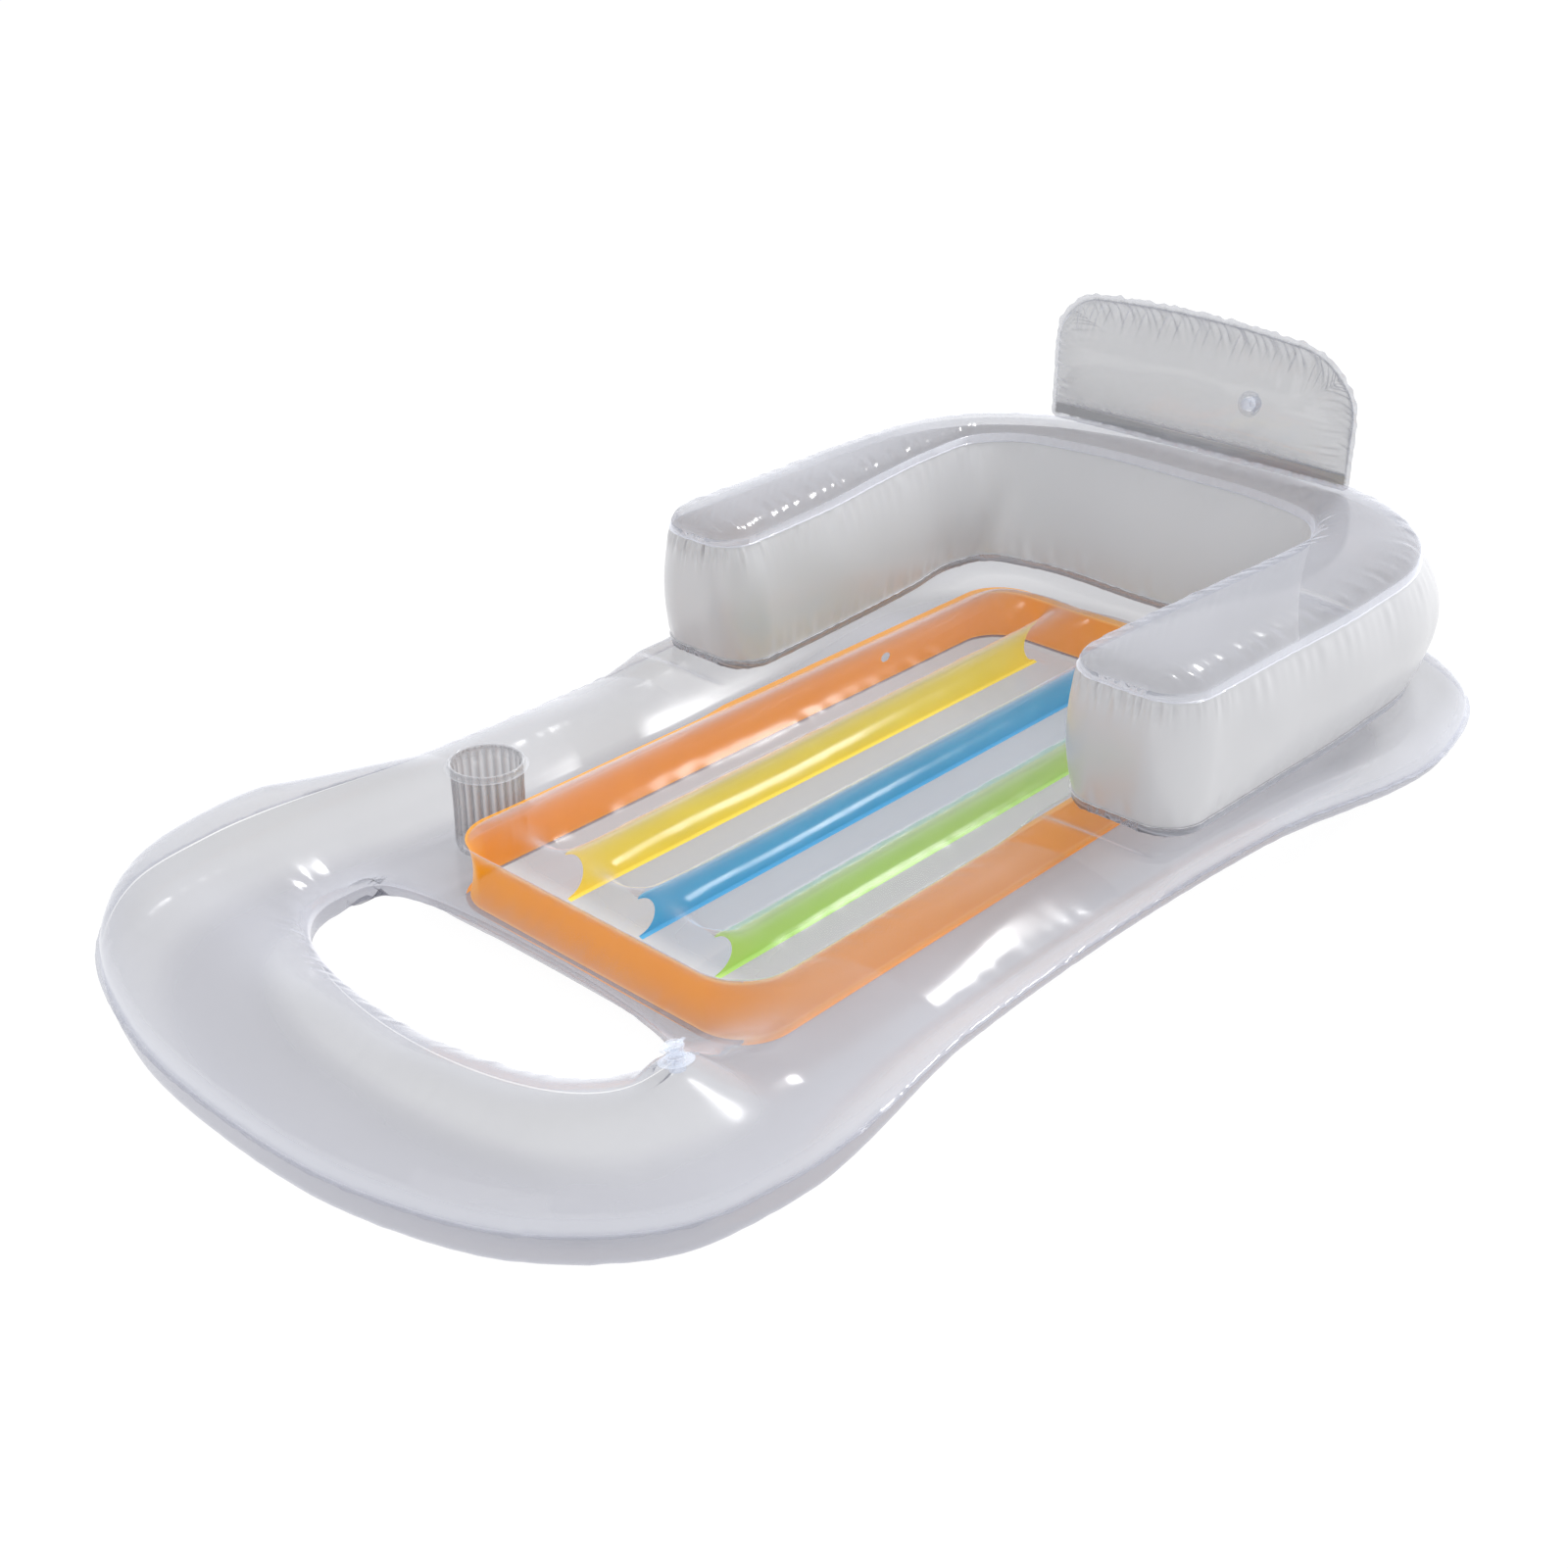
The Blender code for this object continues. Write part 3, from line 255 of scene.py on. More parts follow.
def ripple(share, waves, seed):
    """Uneven waves round a closed seam, about from -1 to 1: a sum of sines with whole numbers of
    waves near the given one, and seeded phases."""
    draw = np.random.default_rng(seed)
    counts = np.round(waves * np.array([0.45, 0.62, 0.81, 1.0, 1.23, 1.55]))
    phases = draw.uniform(0, 2 * np.pi, len(counts))
    weights = draw.uniform(0.25, 0.6, len(counts))
    return sum(w * np.sin(2 * np.pi * n * share + p) for n, p, w in zip(counts, phases, weights))


def run_share(line):
    """How far along a row of points each one is, as a share of the row's length."""
    run = np.concatenate([[0], np.cumsum(np.linalg.norm(np.diff(line, axis=0), axis=-1))])
    return run / run[-1]


def pucker(gap, reach, share, waves, seed):
    """Short strokes square to a seam: waves along it that peak at a reach from it and then fade."""
    near = gap / reach
    return (near * np.exp(1 - near)) ** 2 * ripple(share, waves, seed)


def seam_strokes(reading, strokes):
    """Puckers along a seam, from the distance to it, the place along it, and the strokes' values."""
    depth, reach, waves, seed = strokes
    return depth * pucker(reading[0], reach, reading[1], waves, seed)


def fading(gap, reach):
    """One at a weld and less away from it: the exponential of minus the distance over the reach."""
    return np.exp(-gap / reach)


def unevenness(places, size, seed):
    """Slow hills and dips over a plan, about from -1 to 1: sines along seeded directions."""
    draw = np.random.default_rng(seed)
    angles = draw.uniform(0, np.pi, 5)
    phases = draw.uniform(0, 2 * np.pi, 5)
    sizes = size * draw.uniform(0.7, 1.6, 5)
    total = 0
    for angle, phase, wave in zip(angles, phases, sizes):
        along = places[..., 0] * np.cos(angle) + places[..., 1] * np.sin(angle)
        total = total + np.sin(2 * np.pi * along / wave + phase)
    return total / 3


def right_half(places):
    """Plan points with those of the -X half turned over onto the +X half."""
    return np.stack([np.abs(places[..., 0]), places[..., 1]], axis=-1)


def seam_readings(places):
    """Distance from the outer seam, the opening's edge and the panel's rim, and the place along each."""
    side = np.where(places[..., 0] < 0, -0.5, 0.5)
    readings = []
    for line in (RING_OUTER, OPENING_LINE, RIM_LINE):
        gap, share = nearest_on(line, right_half(places))
        readings.append((gap, share * side))
    return readings


def eased(value, start, end):
    """Rises smoothly from 0 to 1 as a value goes from start to end."""
    share = np.clip((value - start) / (end - start), 0, 1)
    return share * share * (3 - 2 * share)


def ring_top_height(places):
    """Top film outside the panel: three welds, seam puckers, and a soft limit under the armrests."""
    readings = seam_readings(places)
    gaps = [gap for gap, _ in readings]
    y = places[..., 1]
    crest = np.interp(y, RING_PLACES, TOP_CRESTS)
    rises = {(0, 1): crest - (OUTER_SEAM + OPENING_SEAM) / 2, (0, 2): crest - (OUTER_SEAM + BAND_SEAM) / 2,
             (1, 2): BRIDGE_RISE}
    height = stretched((OUTER_SEAM, OPENING_SEAM, BAND_SEAM), gaps, rises,
                       np.interp(y, RING_PLACES, TOP_FULLNESS))
    free = 1 - fading(np.minimum.reduce(gaps), 0.03)
    height = height + RING_SLACK * free * unevenness(places, 0.16, 11)
    for reading, strokes in zip(readings, RING_STROKES):
        height = height + seam_strokes(reading, strokes)
    limit = lerp(OPEN_LIMIT, SEAT_HEIGHT, eased(y, SEAT_START, SEAT_END))
    return -LIMIT_SOFTNESS * np.log(np.exp(-height / LIMIT_SOFTNESS) + np.exp(-limit / LIMIT_SOFTNESS))


def beam_gaps(places):
    """Distance in plan from each of the three beams."""
    past = np.maximum(np.maximum(BEAM_FOOT_END - places[..., 1], places[..., 1] - BEAM_HEAD_END), 0)
    return [np.hypot(places[..., 0] - step * BEAM_SPACING, past) for step in (-1, 0, 1)]


def panel_top_height(places):
    """Top film inside the panel: held by the band and by three beams, lifted between them."""
    rim, rim_share = nearest_on(RIM_LINE, right_half(places))
    gaps = [rim, *beam_gaps(places)]
    heights = (BAND_SEAM, *BEAM_SEAMS)
    pairs = [(a, b) for a in range(4) for b in range(a + 1, 4)]
    rises = {pair: CHANNEL_CREST - (heights[pair[0]] + heights[pair[1]]) / 2 for pair in pairs}
    height = stretched(heights, gaps, rises, PANEL_FULLNESS)
    height = height + seam_strokes((rim, rim_share * np.sign(places[..., 0]) / 2), RIM_STROKES)
    along = (places[..., 1] - PANEL_FOOT) / (PANEL_HEAD - PANEL_FOOT)
    depth, reach, waves, seed = BEAM_STROKES
    for index, gap in enumerate(gaps[1:]):
        height = height + seam_strokes((gap, along), (depth, reach, waves, seed + index))
    free = 1 - fading(np.minimum.reduce(gaps), 0.02)
    return height + PANEL_SLACK * free * unevenness(places, 0.30, 12)


def stacked(plan, heights):
    """Plan points and heights as one grid of points."""
    return np.concatenate([plan, np.broadcast_to(heights, plan.shape[:-1])[..., None]], axis=-1)


def all_round(half):
    """A ring grid's +X half and its mirror image: round to the head and back to the foot."""
    return np.concatenate([half, half[-2::-1] * (-1, 1)])


def both_halves(half):
    """A grid with columns from the centre line out, and its mirror image."""
    return np.concatenate([half[:0:-1] * (-1, 1), half])


def outward(points):
    """Unit vectors in plan to the right of the way along a closed row of points."""
    along = np.roll(points[:-1], -1, axis=0) - np.roll(points[:-1], 1, axis=0)
    across = np.stack([along[:, 1], -along[:, 0]], axis=-1)
    across = across / np.linalg.norm(across, axis=1, keepdims=True)
    return np.concatenate([across, across[:1]])


def punched(plan, centre, radius):
    """Push a grid's points out of a round hole, onto its edge, and say which were inside it."""
    away = plan - centre
    distance = np.linalg.norm(away, axis=-1, keepdims=True)
    inside = distance[..., 0] < radius
    moved = centre + away * radius / np.maximum(distance, 1e-6)
    return np.where(inside[..., None], moved, plan), inside


MERGE_DISTANCE = 0.00002            # grids that share an edge become one mesh there


def mesh_piece(name, grids, flipped=False, holes=None, fields=None):
    """One mesh from grids that share edges; the way along a grid's first axis, crossed with the way
    along its second, points outwards. Cells whose four corners lie in a hole are left out, and
    fields are values for each point, kept as attributes."""
    places, cells, count = [], [], 0
    for index, grid in enumerate(grids):
        rows, columns = grid.shape[:2]
        number = np.arange(rows * columns).reshape(rows, columns) + count
        corners = np.stack([number[:-1, :-1], number[1:, :-1], number[1:, 1:], number[:-1, 1:]], axis=-1)
        corners = corners.reshape(-1, 4)
        if holes is not None:
            inside = holes[index].ravel()
            corners = corners[~inside[corners - count].all(axis=1)]
        cells.append(corners[:, ::-1] if flipped else corners)
        places.append(grid.reshape(-1, 3))
        count += rows * columns
    mesh = bpy.data.meshes.new(name)
    mesh.from_pydata(np.concatenate(places), [], np.concatenate(cells))
    for field, values in (fields or {}).items():
        attribute = mesh.attributes.new(field, "FLOAT", "POINT")
        numbers = np.concatenate([np.ravel(part) for part in values])
        attribute.data.foreach_set("value", numbers.astype(np.float32))
    shape = bmesh.new()
    shape.from_mesh(mesh)
    bmesh.ops.remove_doubles(shape, verts=shape.verts, dist=MERGE_DISTANCE)
    loose = [vert for vert in shape.verts if not vert.link_faces]
    bmesh.ops.delete(shape, geom=loose, context="VERTS")
    shape.to_mesh(mesh)
    shape.free()
    mesh.polygons.foreach_set("use_smooth", np.ones(len(mesh.polygons), bool))
    piece = bpy.data.objects.new(name, mesh)
    bpy.context.scene.collection.objects.link(piece)
    return piece


def dress(piece, material, slot, body, *nodes):
    """Give a piece its finish and its body, and hide the CAD nodes that it stands for."""
    piece.data.materials.append(material)
    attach(piece, body)
    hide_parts(*nodes)


def add_node(tree, kind, sockets=None, **settings):
    """A shader node; a socket's value is a number, a colour or the output linked to it."""
    node = tree.nodes.new(kind)
    for key, value in settings.items():
        setattr(node, key, value)
    for key, value in (sockets or {}).items():
        if isinstance(value, bpy.types.NodeSocket):
            tree.links.new(value, node.inputs[key])
        else:
            node.inputs[key].default_value = value
    return node


def spread(tree, value, start, end, low, high):
    """Shader value that goes from low to high as another goes from start to end."""
    sockets = {"Value": value, "From Min": start, "From Max": end, "To Min": low, "To Max": high}
    return add_node(tree, "ShaderNodeMapRange", sockets).outputs["Result"]


def worked(tree, operation, first, second, **settings):
    """Shader value worked out from two others."""
    node = add_node(tree, "ShaderNodeMath", {0: first, 1: second}, operation=operation, **settings)
    return node.outputs["Value"]


def noise(tree, place, scale, detail):
    """Shader value that drifts between 0 and 1 over a surface."""
    sockets = {"Vector": place, "Scale": scale, "Detail": detail}
    return add_node(tree, "ShaderNodeTexNoise", sockets).outputs["Fac"]


GRAZING_POWER = 2.4                 # how late the film thickens to the eye and its painted sheen grows, from square on to edge on
CLOUDS = (5.0, 3.0)                 # scale and detail of the noises
SMEARS = (26.0, 4.0)
GRAIN_DETAIL = 2.0
CLOUD_HAZE = 0.2
SMEAR_DULLING = 1.7


def film_material(name, colour, pale, see_through, edge_on, gloss, grain, ior=1.5, glow=0.0):
    """PVC film. The alpha grows from square on to edge on, as film does, and with the mesh's veil, and
    the colour turns pale with it, a painted sheen, and with the mesh's weld field, at welds, at
    painted sheen and highlights, and in slow clouds; smears dull the gloss, and fine grain dents the
    surface. The glow stands for light that comes through the film from behind."""
    material = bpy.data.materials.new(name)
    material.use_nodes = True
    tree = material.node_tree
    shader = tree.nodes["Principled BSDF"]
    place = add_node(tree, "ShaderNodeTexCoord").outputs["Object"]
    clouds = noise(tree, place, *CLOUDS)
    smears = noise(tree, place, *SMEARS)
    fine = noise(tree, place, grain, GRAIN_DETAIL)
    weld, veil = [add_node(tree, "ShaderNodeAttribute", attribute_name=field).outputs["Fac"]
                  for field in ("weld", "veil")]
    facing = add_node(tree, "ShaderNodeLayerWeight", {"Blend": 0.5}).outputs["Facing"]
    grazing = worked(tree, "POWER", facing, GRAZING_POWER)
    # Painted sheen: edge on, the colour turns pale and stands in for the sky's reflection; the clouds add
    # real haze.
    sheen_and_haze = worked(tree, "MAXIMUM", grazing, spread(tree, clouds, 0.35, 0.7, 0, CLOUD_HAZE))
    whiten = worked(tree, "MAXIMUM", sheen_and_haze, weld)
    tints = {"Factor": whiten, "A": (*colour, 1), "B": (*pale, 1)}
    paint = add_node(tree, "ShaderNodeMix", tints, data_type="RGBA").outputs["Result"]
    veiled = worked(tree, "ADD", spread(tree, grazing, 0, 1, see_through, edge_on), veil, use_clamp=True)
    dents = add_node(tree, "ShaderNodeBump", {"Height": fine, "Strength": 0.005, "Distance": 0.001})
    dull = spread(tree, smears, 0.3, 0.75, gloss, gloss * SMEAR_DULLING)
    links = {"Base Color": paint, "Emission Color": paint, "Alpha": veiled, "Roughness": dull,
             "Normal": dents.outputs["Normal"]}
    for socket, value in links.items():
        tree.links.new(value, shader.inputs[socket])
    shader.inputs["Emission Strength"].default_value = glow
    shader.inputs["IOR"].default_value = ior
    material.diffuse_color = (*colour, 1)
    return material


CUP_CENTRE = np.array([-0.262, -0.272])
CUP_RADIUS = 0.038
joints = {joint["name"]: joint for joint in frame["joints"]}


def valve_axes(name):
    """Origin and unit axes of an air valve: Z out of the film, X away from the strap's fold."""
    z_axis = -np.array(joints[name + "_stem_push"]["axis"], float)
    y_axis = -np.array(joints[name + "_plug_swing"]["axis"], float)
    origin = np.array(joints[name + "_stem_push"]["pos_m"], float)
    return origin, np.stack([np.cross(y_axis, z_axis), y_axis, z_axis])


STEM_HOLE = 0.0092                  # radius of the film's hole under a valve's flange
FLANGE_SEAT = 0.017                 # radius up to which the film lies flat
SEAT_BLEND = 0.042                  # radius from which it has its own curve
BORE_DEPTH = 0.02                   # film this near the flange's plane is laid flat and bored
GATHER_REACH = 0.060
GATHER_POWER = 0.6


def gathered(plan, centre):
    """Draw a grid's points towards a place, the nearest the most, so that a small hole there has
    enough of them: a distance is multiplied by a power of its share of the reach."""
    away = plan - centre
    share = np.linalg.norm(away, axis=-1, keepdims=True) / GATHER_REACH
    return centre + away * np.clip(share, 1e-6, 1) ** GATHER_POWER


def bored(points, name):
    """Lay a film flat under a valve's flange, eased into its own curve further out, push its points
    out of the bore, in the valve's plane, and say which were inside."""
    origin, axes = valve_axes(name)
    away = points - origin
    flat, height = away @ axes[:2].T, away @ axes[2]
    beside = np.linalg.norm(flat, axis=-1)
    near = np.abs(height) < BORE_DEPTH
    sink = near * (1 - eased(beside, FLANGE_SEAT, SEAT_BLEND)) * (height + FILM_GAP / 2)
    inside = (beside < STEM_HOLE) & near
    push = np.where(inside, STEM_HOLE / np.maximum(beside, 1e-6) - 1, 0)
    return points + (flat * push[..., None]) @ axes[:2] - sink[..., None] * axes[2], inside


EDGE_WAVES = np.array([0.0006, 0.0004, 0])  # at the rim, halfway in and at the seam


def welded_edge(loop, height):
    """The flat weld outside the base's seam: a strip with an uneven wave, highest at its rim."""
    edge = np.stack([loop + outward(loop) * WELD_EDGE * share for share in (1, 0.5, 0)], axis=1)
    return stacked(edge, height + ripple(run_share(loop), 150, 51)[:, None] * EDGE_WAVES)


SEAM_SHEEN_REACH = 0.030                   # how far the painted sheen goes beside the seam and the opening
OPENING_SHEEN_REACH = 0.018
SEAM_HIGHLIGHT_REACH = 0.0015                 # how far the whitest painted highlight line beside each goes
OPENING_HIGHLIGHT_REACH = 0.0025
CLEAR_REACH = 0.075                 # the film is clearest beside the panel's rim


def base_top_film():
    """Ring, bridge and panel, with the cup holder's hole, the valve's hole and the welded edge."""
    ring, bridge, panel = all_round(RING), both_halves(BRIDGE), both_halves(PANEL)
    ring = gathered(ring, valve_axes("base")[0][:2])
    ring, cup_hole = punched(ring, CUP_CENTRE, CUP_RADIUS + FILM_GAP)
    ring_grid, valve_hole = bored(stacked(ring, ring_top_height(ring)), "base")
    grids = (ring_grid, welded_edge(ring[:, 0], OUTER_SEAM),
             stacked(bridge, ring_top_height(bridge)), stacked(panel, panel_top_height(panel)))
    holes = [cup_hole | valve_hole] + [np.zeros(grid.shape[:2], bool) for grid in grids[1:]]
    veils, welds = [], []
    for grid in grids[:3]:
        (outer, _), (opening, _), (rim, _) = seam_readings(grid[..., :2])
        # Painted sheen and highlight: the film is drawn paler and denser beside the seam and the opening,
        # with a whiter line along each.
        seam_sheen = np.maximum(fading(outer, SEAM_SHEEN_REACH), fading(opening, OPENING_SHEEN_REACH))
        white = np.maximum(fading(outer, SEAM_HIGHLIGHT_REACH), fading(opening, OPENING_HIGHLIGHT_REACH))
        clear = fading(rim ** 2, CLEAR_REACH ** 2)
        welds.append(0.75 * seam_sheen)
        veils.append(0.24 * seam_sheen + 0.2 * white - 0.17 * clear)
    veils.append(np.full(panel.shape[:2], -0.05))
    welds.append(np.zeros(panel.shape[:2]))
    return mesh_piece("base_top_film", grids, holes=holes, fields={"veil": veils, "weld": welds})


CLEAR_FILM = film_material("clear_film_pvc", colour=(0.13, 0.135, 0.16), pale=(0.80, 0.82, 0.91),
                           see_through=0.06, edge_on=0.92, gloss=0.12, grain=160, ior=2.2)
dress(base_top_film(), CLEAR_FILM, "clear_film", "base", "base_top_sheet")


# Bottom film of the base: clear PVC, the same outline, welded to the top film along both seams. It
# lies flat on the ground or the water. Its grey is painted shade, the shaded ground seen through it,
# and its panel part, under the channels, is painted greyest.

BAND_FOOT = 0.004
BEAM_FOOT = 0.006
GROUND = 0.0003
BOTTOM_CREST = -0.006               # the swell is cut off level by the ground
BOTTOM_FULLNESS = (0.09, 0.14, 0.14, 0.14)
BOTTOM_STROKES = ((0.0003, 0.010, 120, 61), (0.0006, 0.010, 45, 62))


def ring_bottom_height(places):
    """Bottom film outside the panel: three welds, with the swell below them."""
    readings = seam_readings(places)
    rises = {(0, 1): BOTTOM_CREST - (OUTER_SEAM + OPENING_SEAM) / 2,
             (0, 2): BOTTOM_CREST - (OUTER_SEAM + BAND_FOOT) / 2, (1, 2): -BRIDGE_RISE}
    height = stretched((OUTER_SEAM, OPENING_SEAM, BAND_FOOT), [gap for gap, _ in readings], rises,
                       np.interp(places[..., 1], RING_PLACES, BOTTOM_FULLNESS))
    for reading, strokes in zip(readings, BOTTOM_STROKES):
        height = height + seam_strokes(reading, strokes)
    return np.maximum(height, GROUND)


def panel_bottom_height(places):
    """Bottom film inside the panel: low arches between the beams' lower welds."""
    gaps = [nearest_on(RIM_LINE, right_half(places))[0], *beam_gaps(places)]
    heights = (BAND_FOOT, BEAM_FOOT, BEAM_FOOT, BEAM_FOOT)
    rises = {(a, b): -BEAM_FOOT for a in range(4) for b in range(a + 1, 4)}
    return np.maximum(stretched(heights, gaps, rises, PANEL_FULLNESS), GROUND)


def base_bottom_film():
    """Ring, bridge and panel of the bottom film, and its welded edge."""
    ring, bridge, panel = all_round(RING), both_halves(BRIDGE), both_halves(PANEL)
    seam = OUTER_SEAM - FILM_GAP / 2
    grids = (stacked(ring, np.minimum(ring_bottom_height(ring), seam)), welded_edge(ring[:, 0], seam),
             stacked(bridge, ring_bottom_height(bridge)), stacked(panel, panel_bottom_height(panel)))
    # Painted shade: the film is drawn denser and greyer between the beams, where it lies on the ground and
    # beside the band.
    panel_shade = eased(panel[..., 1], BEAM_FOOT_END - 0.004, BEAM_FOOT_END + 0.03)
    contact_shade = [1 - eased(grid[..., 2], GROUND, 0.012) for grid in grids[:3]]
    band_side_shade = [fading(seam_readings(grid[..., :2])[2][0], 0.05) for grid in grids[:3]]
    veils = [0.16 * touch + 0.14 * near - 0.06 for touch, near in zip(contact_shade, band_side_shade)]
    veils.append(0.20 * panel_shade - 0.1)
    return mesh_piece("base_bottom_film", grids, flipped=True, fields={"veil": veils})


# Painted shade: a grey film that stands for the shaded ground seen through the base.
GROUND_SHADE_FILM = film_material("ground_shade_film_pvc", colour=(0.21, 0.212, 0.262), pale=(0.46, 0.47, 0.55),
                           see_through=0.48, edge_on=0.76, gloss=0.14, grain=160)
dress(base_bottom_film(), GROUND_SHADE_FILM, "clear_film", "base", "base_bottom_sheet")


# Orange band: a strip of transparent orange film that stands on edge round the panel. Its two long
# edges are folded outwards and welded under the films, and one oval hole lets the air through.

BAND_LIP = 0.005
TOP_LIP = BAND_LIP / 4
TOP_LIP_RISE = 0.006                # the film rises steeply from its weld, and the lip with it
BAND_LEAN = 0.0012                  # the strip's middle leans in, more at the corners
CORNER_LEAN = 0.003
BAND_WAVE = 0.0005
BAND_ROWS = 18
LIP_ROWS = 4
LIP_SHARES = np.linspace(1, 0, LIP_ROWS + 1)[:-1]
FOOT_WELD = 0.5                     # the lower weld looks half as pale as the upper one
HOLE_CENTRE = np.array([0.330, 0.036])  # along Y and up
HOLE_HALF_SIZE = np.array([0.009, 0.006])


def band_strip(rim, away):
    """The rim carried up from the bottom film to the top film; a sine bends its middle inwards."""
    share = np.linspace(0, 1, BAND_ROWS + 1)
    corner = eased(np.abs(away[:, 0] * away[:, 1]), 0.05, 0.5)
    lean = -(BAND_LEAN + CORNER_LEAN * corner + BAND_WAVE * ripple(run_share(rim), 34, 71))
    plan = rim[:, None] + away[:, None] * (lean[:, None] * np.sin(np.pi * share) ** 0.8)[..., None]
    return stacked(plan, lerp(BAND_FOOT + FILM_GAP, BAND_SEAM - FILM_GAP, share))


def air_hole(strip):
    """Push the -X side's points out of an oval hole, onto its edge, and say which were inside."""
    flat, inside = punched((strip[..., 1:] - HOLE_CENTRE) / HOLE_HALF_SIZE, 0, 1)
    inside = inside & (strip[..., 0] < 0)
    edge = HOLE_CENTRE + flat * HOLE_HALF_SIZE
    strip[..., 1:] = np.where(inside[..., None], edge, strip[..., 1:])
    return strip, inside


def lip_plan(rim, away, reach):
    """Plan grid of a lip: from its outer edge in to the last row before the rim."""
    return rim[:, None] + away[:, None] * (LIP_SHARES * reach)[:, None]


def orange_band():
    """The strip round the panel's rim, and along both its edges a lip that follows the film there."""
    rim = all_round(RIM_LINE)
    away = outward(rim)
    foot_plan, top_plan = lip_plan(rim, away, BAND_LIP), lip_plan(rim, away, TOP_LIP)
    foot_lip = stacked(foot_plan, ring_bottom_height(foot_plan) + FILM_GAP)
    top_height = np.minimum(BAND_SEAM + TOP_LIP_RISE * LIP_SHARES, ring_top_height(top_plan)) - FILM_GAP
    strip, hole = air_hole(band_strip(rim, away))
    grid = np.concatenate([foot_lip, strip, stacked(top_plan, top_height)[:, ::-1]], axis=1)
    whole = np.zeros((len(rim), LIP_ROWS), bool)
    weld = np.zeros(grid.shape[:2])
    weld[:, :LIP_ROWS + 1] = FOOT_WELD
    weld[:, -LIP_ROWS - 1:] = 1
    return mesh_piece("orange_band_film", (grid,), holes=[np.concatenate([whole, hole, whole], axis=1)],
                      fields={"weld": [weld], "veil": [-0.12 * weld]})


ORANGE_FILM = film_material("orange_film_pvc", colour=(0.78, 0.245, 0.002), pale=(0.92, 0.40, 0.03),
                            see_through=0.88, edge_on=1.0, gloss=0.10, grain=120, ior=1.12, glow=0.26)
dress(orange_band(), ORANGE_FILM, "orange_film", "base", "orange_band")


# Yellow, blue and green beams: strips of transparent film on edge that tie the top film to the
# bottom film. Each edge is folded over and welded, and both ends have a punched U that stops tears.

BEAM_LIP = 0.005
NOTCH_DEPTH = 0.022
NOTCH_MARGIN = 1.08                 # over one, it keeps the notch clear of both welds
BEAM_WAVE = 0.0016
BEAM_ROWS = 20
BEAM_COLUMNS = 260

# Each film's colour, and the paler one that it has along its welds and, as painted sheen, edge on
BEAM_COLOURS = {"yellow": ((0.93, 0.66, 0.015), (0.97, 0.78, 0.10)),
                "blue": ((0.012, 0.31, 0.64), (0.08, 0.47, 0.80)),
                "green": ((0.35, 0.69, 0.09), (0.52, 0.82, 0.24))}


def beam_film(name, step, seam, seed):
    """A grid from foot to head and from the lower weld to the upper: each row starts and ends where
    the half ellipse of a notch leaves it, the strip waves sideways, and lips lie along both films."""
    share = crowded_ends(BEAM_ROWS)
    height = lerp(BEAM_FOOT + FILM_GAP, seam - FILM_GAP, share)
    bite = NOTCH_DEPTH * np.sqrt(np.maximum(1 - (2 * share - 1) ** 2 * NOTCH_MARGIN, 0))
    start, end = BEAM_FOOT_END + bite, BEAM_HEAD_END - bite
    run = np.linspace(0, 1, BEAM_COLUMNS + 1)
    y = lerp(start[None, :], end[None, :], run[:, None])
    x = step * BEAM_SPACING + BEAM_WAVE * np.sin(np.pi * share) * ripple(y, 9, seed)
    strip = np.stack([x, y, np.broadcast_to(height, y.shape)], axis=-1)
    reach = np.linspace(0, BEAM_LIP, LIP_ROWS + 1)[1:]
    lip_y = np.broadcast_to(lerp(BEAM_FOOT_END, BEAM_HEAD_END, run)[:, None], (len(run), LIP_ROWS))
    lip = np.stack([np.broadcast_to(step * BEAM_SPACING + reach, lip_y.shape), lip_y], axis=-1)
    top_lip = stacked(lip, panel_top_height(lip) - FILM_GAP)
    foot_lip = stacked(lip, panel_bottom_height(lip) + FILM_GAP)[:, ::-1]
    grid = np.concatenate([foot_lip, strip, top_lip], axis=1)
    weld = np.zeros(grid.shape[:2])
    weld[:, :LIP_ROWS] = FOOT_WELD
    weld[:, -LIP_ROWS:] = 1
    return mesh_piece(name, (grid,), fields={"weld": [weld], "veil": [-0.1 * weld]})


for beam_index, (beam, (film_colour, film_pale)) in enumerate(BEAM_COLOURS.items()):
    beam_material = film_material(beam + "_film_pvc", colour=film_colour, pale=film_pale, see_through=0.90,
                                  edge_on=1.0, gloss=0.10, grain=120, ior=1.12, glow=0.24)
    strip = beam_film(beam + "_beam_film", beam_index - 1, BEAM_SEAMS[beam_index], 80 + beam_index)
    dress(strip, beam_material, beam + "_film", "base", beam + "_beam")


# Cup holder: a ribbed sleeve of smoky film that hangs through the ring from a welded lip, and the
# film disc welded across its foot, on which a can stands.

cup_low, cup_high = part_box("cup_holder_sleeve")
floor_low, floor_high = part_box("cup_holder_floor")
CUP_RIBS = 24
RIB_DEPTH = 0.0018
SLEEVE_WAIST = 0.0008               # the sleeve is this much narrower halfway down
CUP_COLUMNS = 192
CUP_ROWS = 28
CUP_LIP = 0.0035
ROLL_RADIUS = 0.0018                # of the rolled rim, which stands clear of the film
ROLL_RISE = 0.005
ROLL_STEPS = 10
LIP_STEPS = 5
FLOOR_ROWS = 24
FLOOR_RINGS = 0.0002                # depth of the rings pressed into the floor


def turned(radius, height, angle, centre=(0, 0)):
    """Points carried round an upright axis: at a radius along the cosine and the sine of an angle."""
    x = centre[0] + radius * np.cos(angle)
    y = centre[1] + radius * np.sin(angle)
    return np.stack([x, y, np.broadcast_to(height, x.shape)], axis=-1)


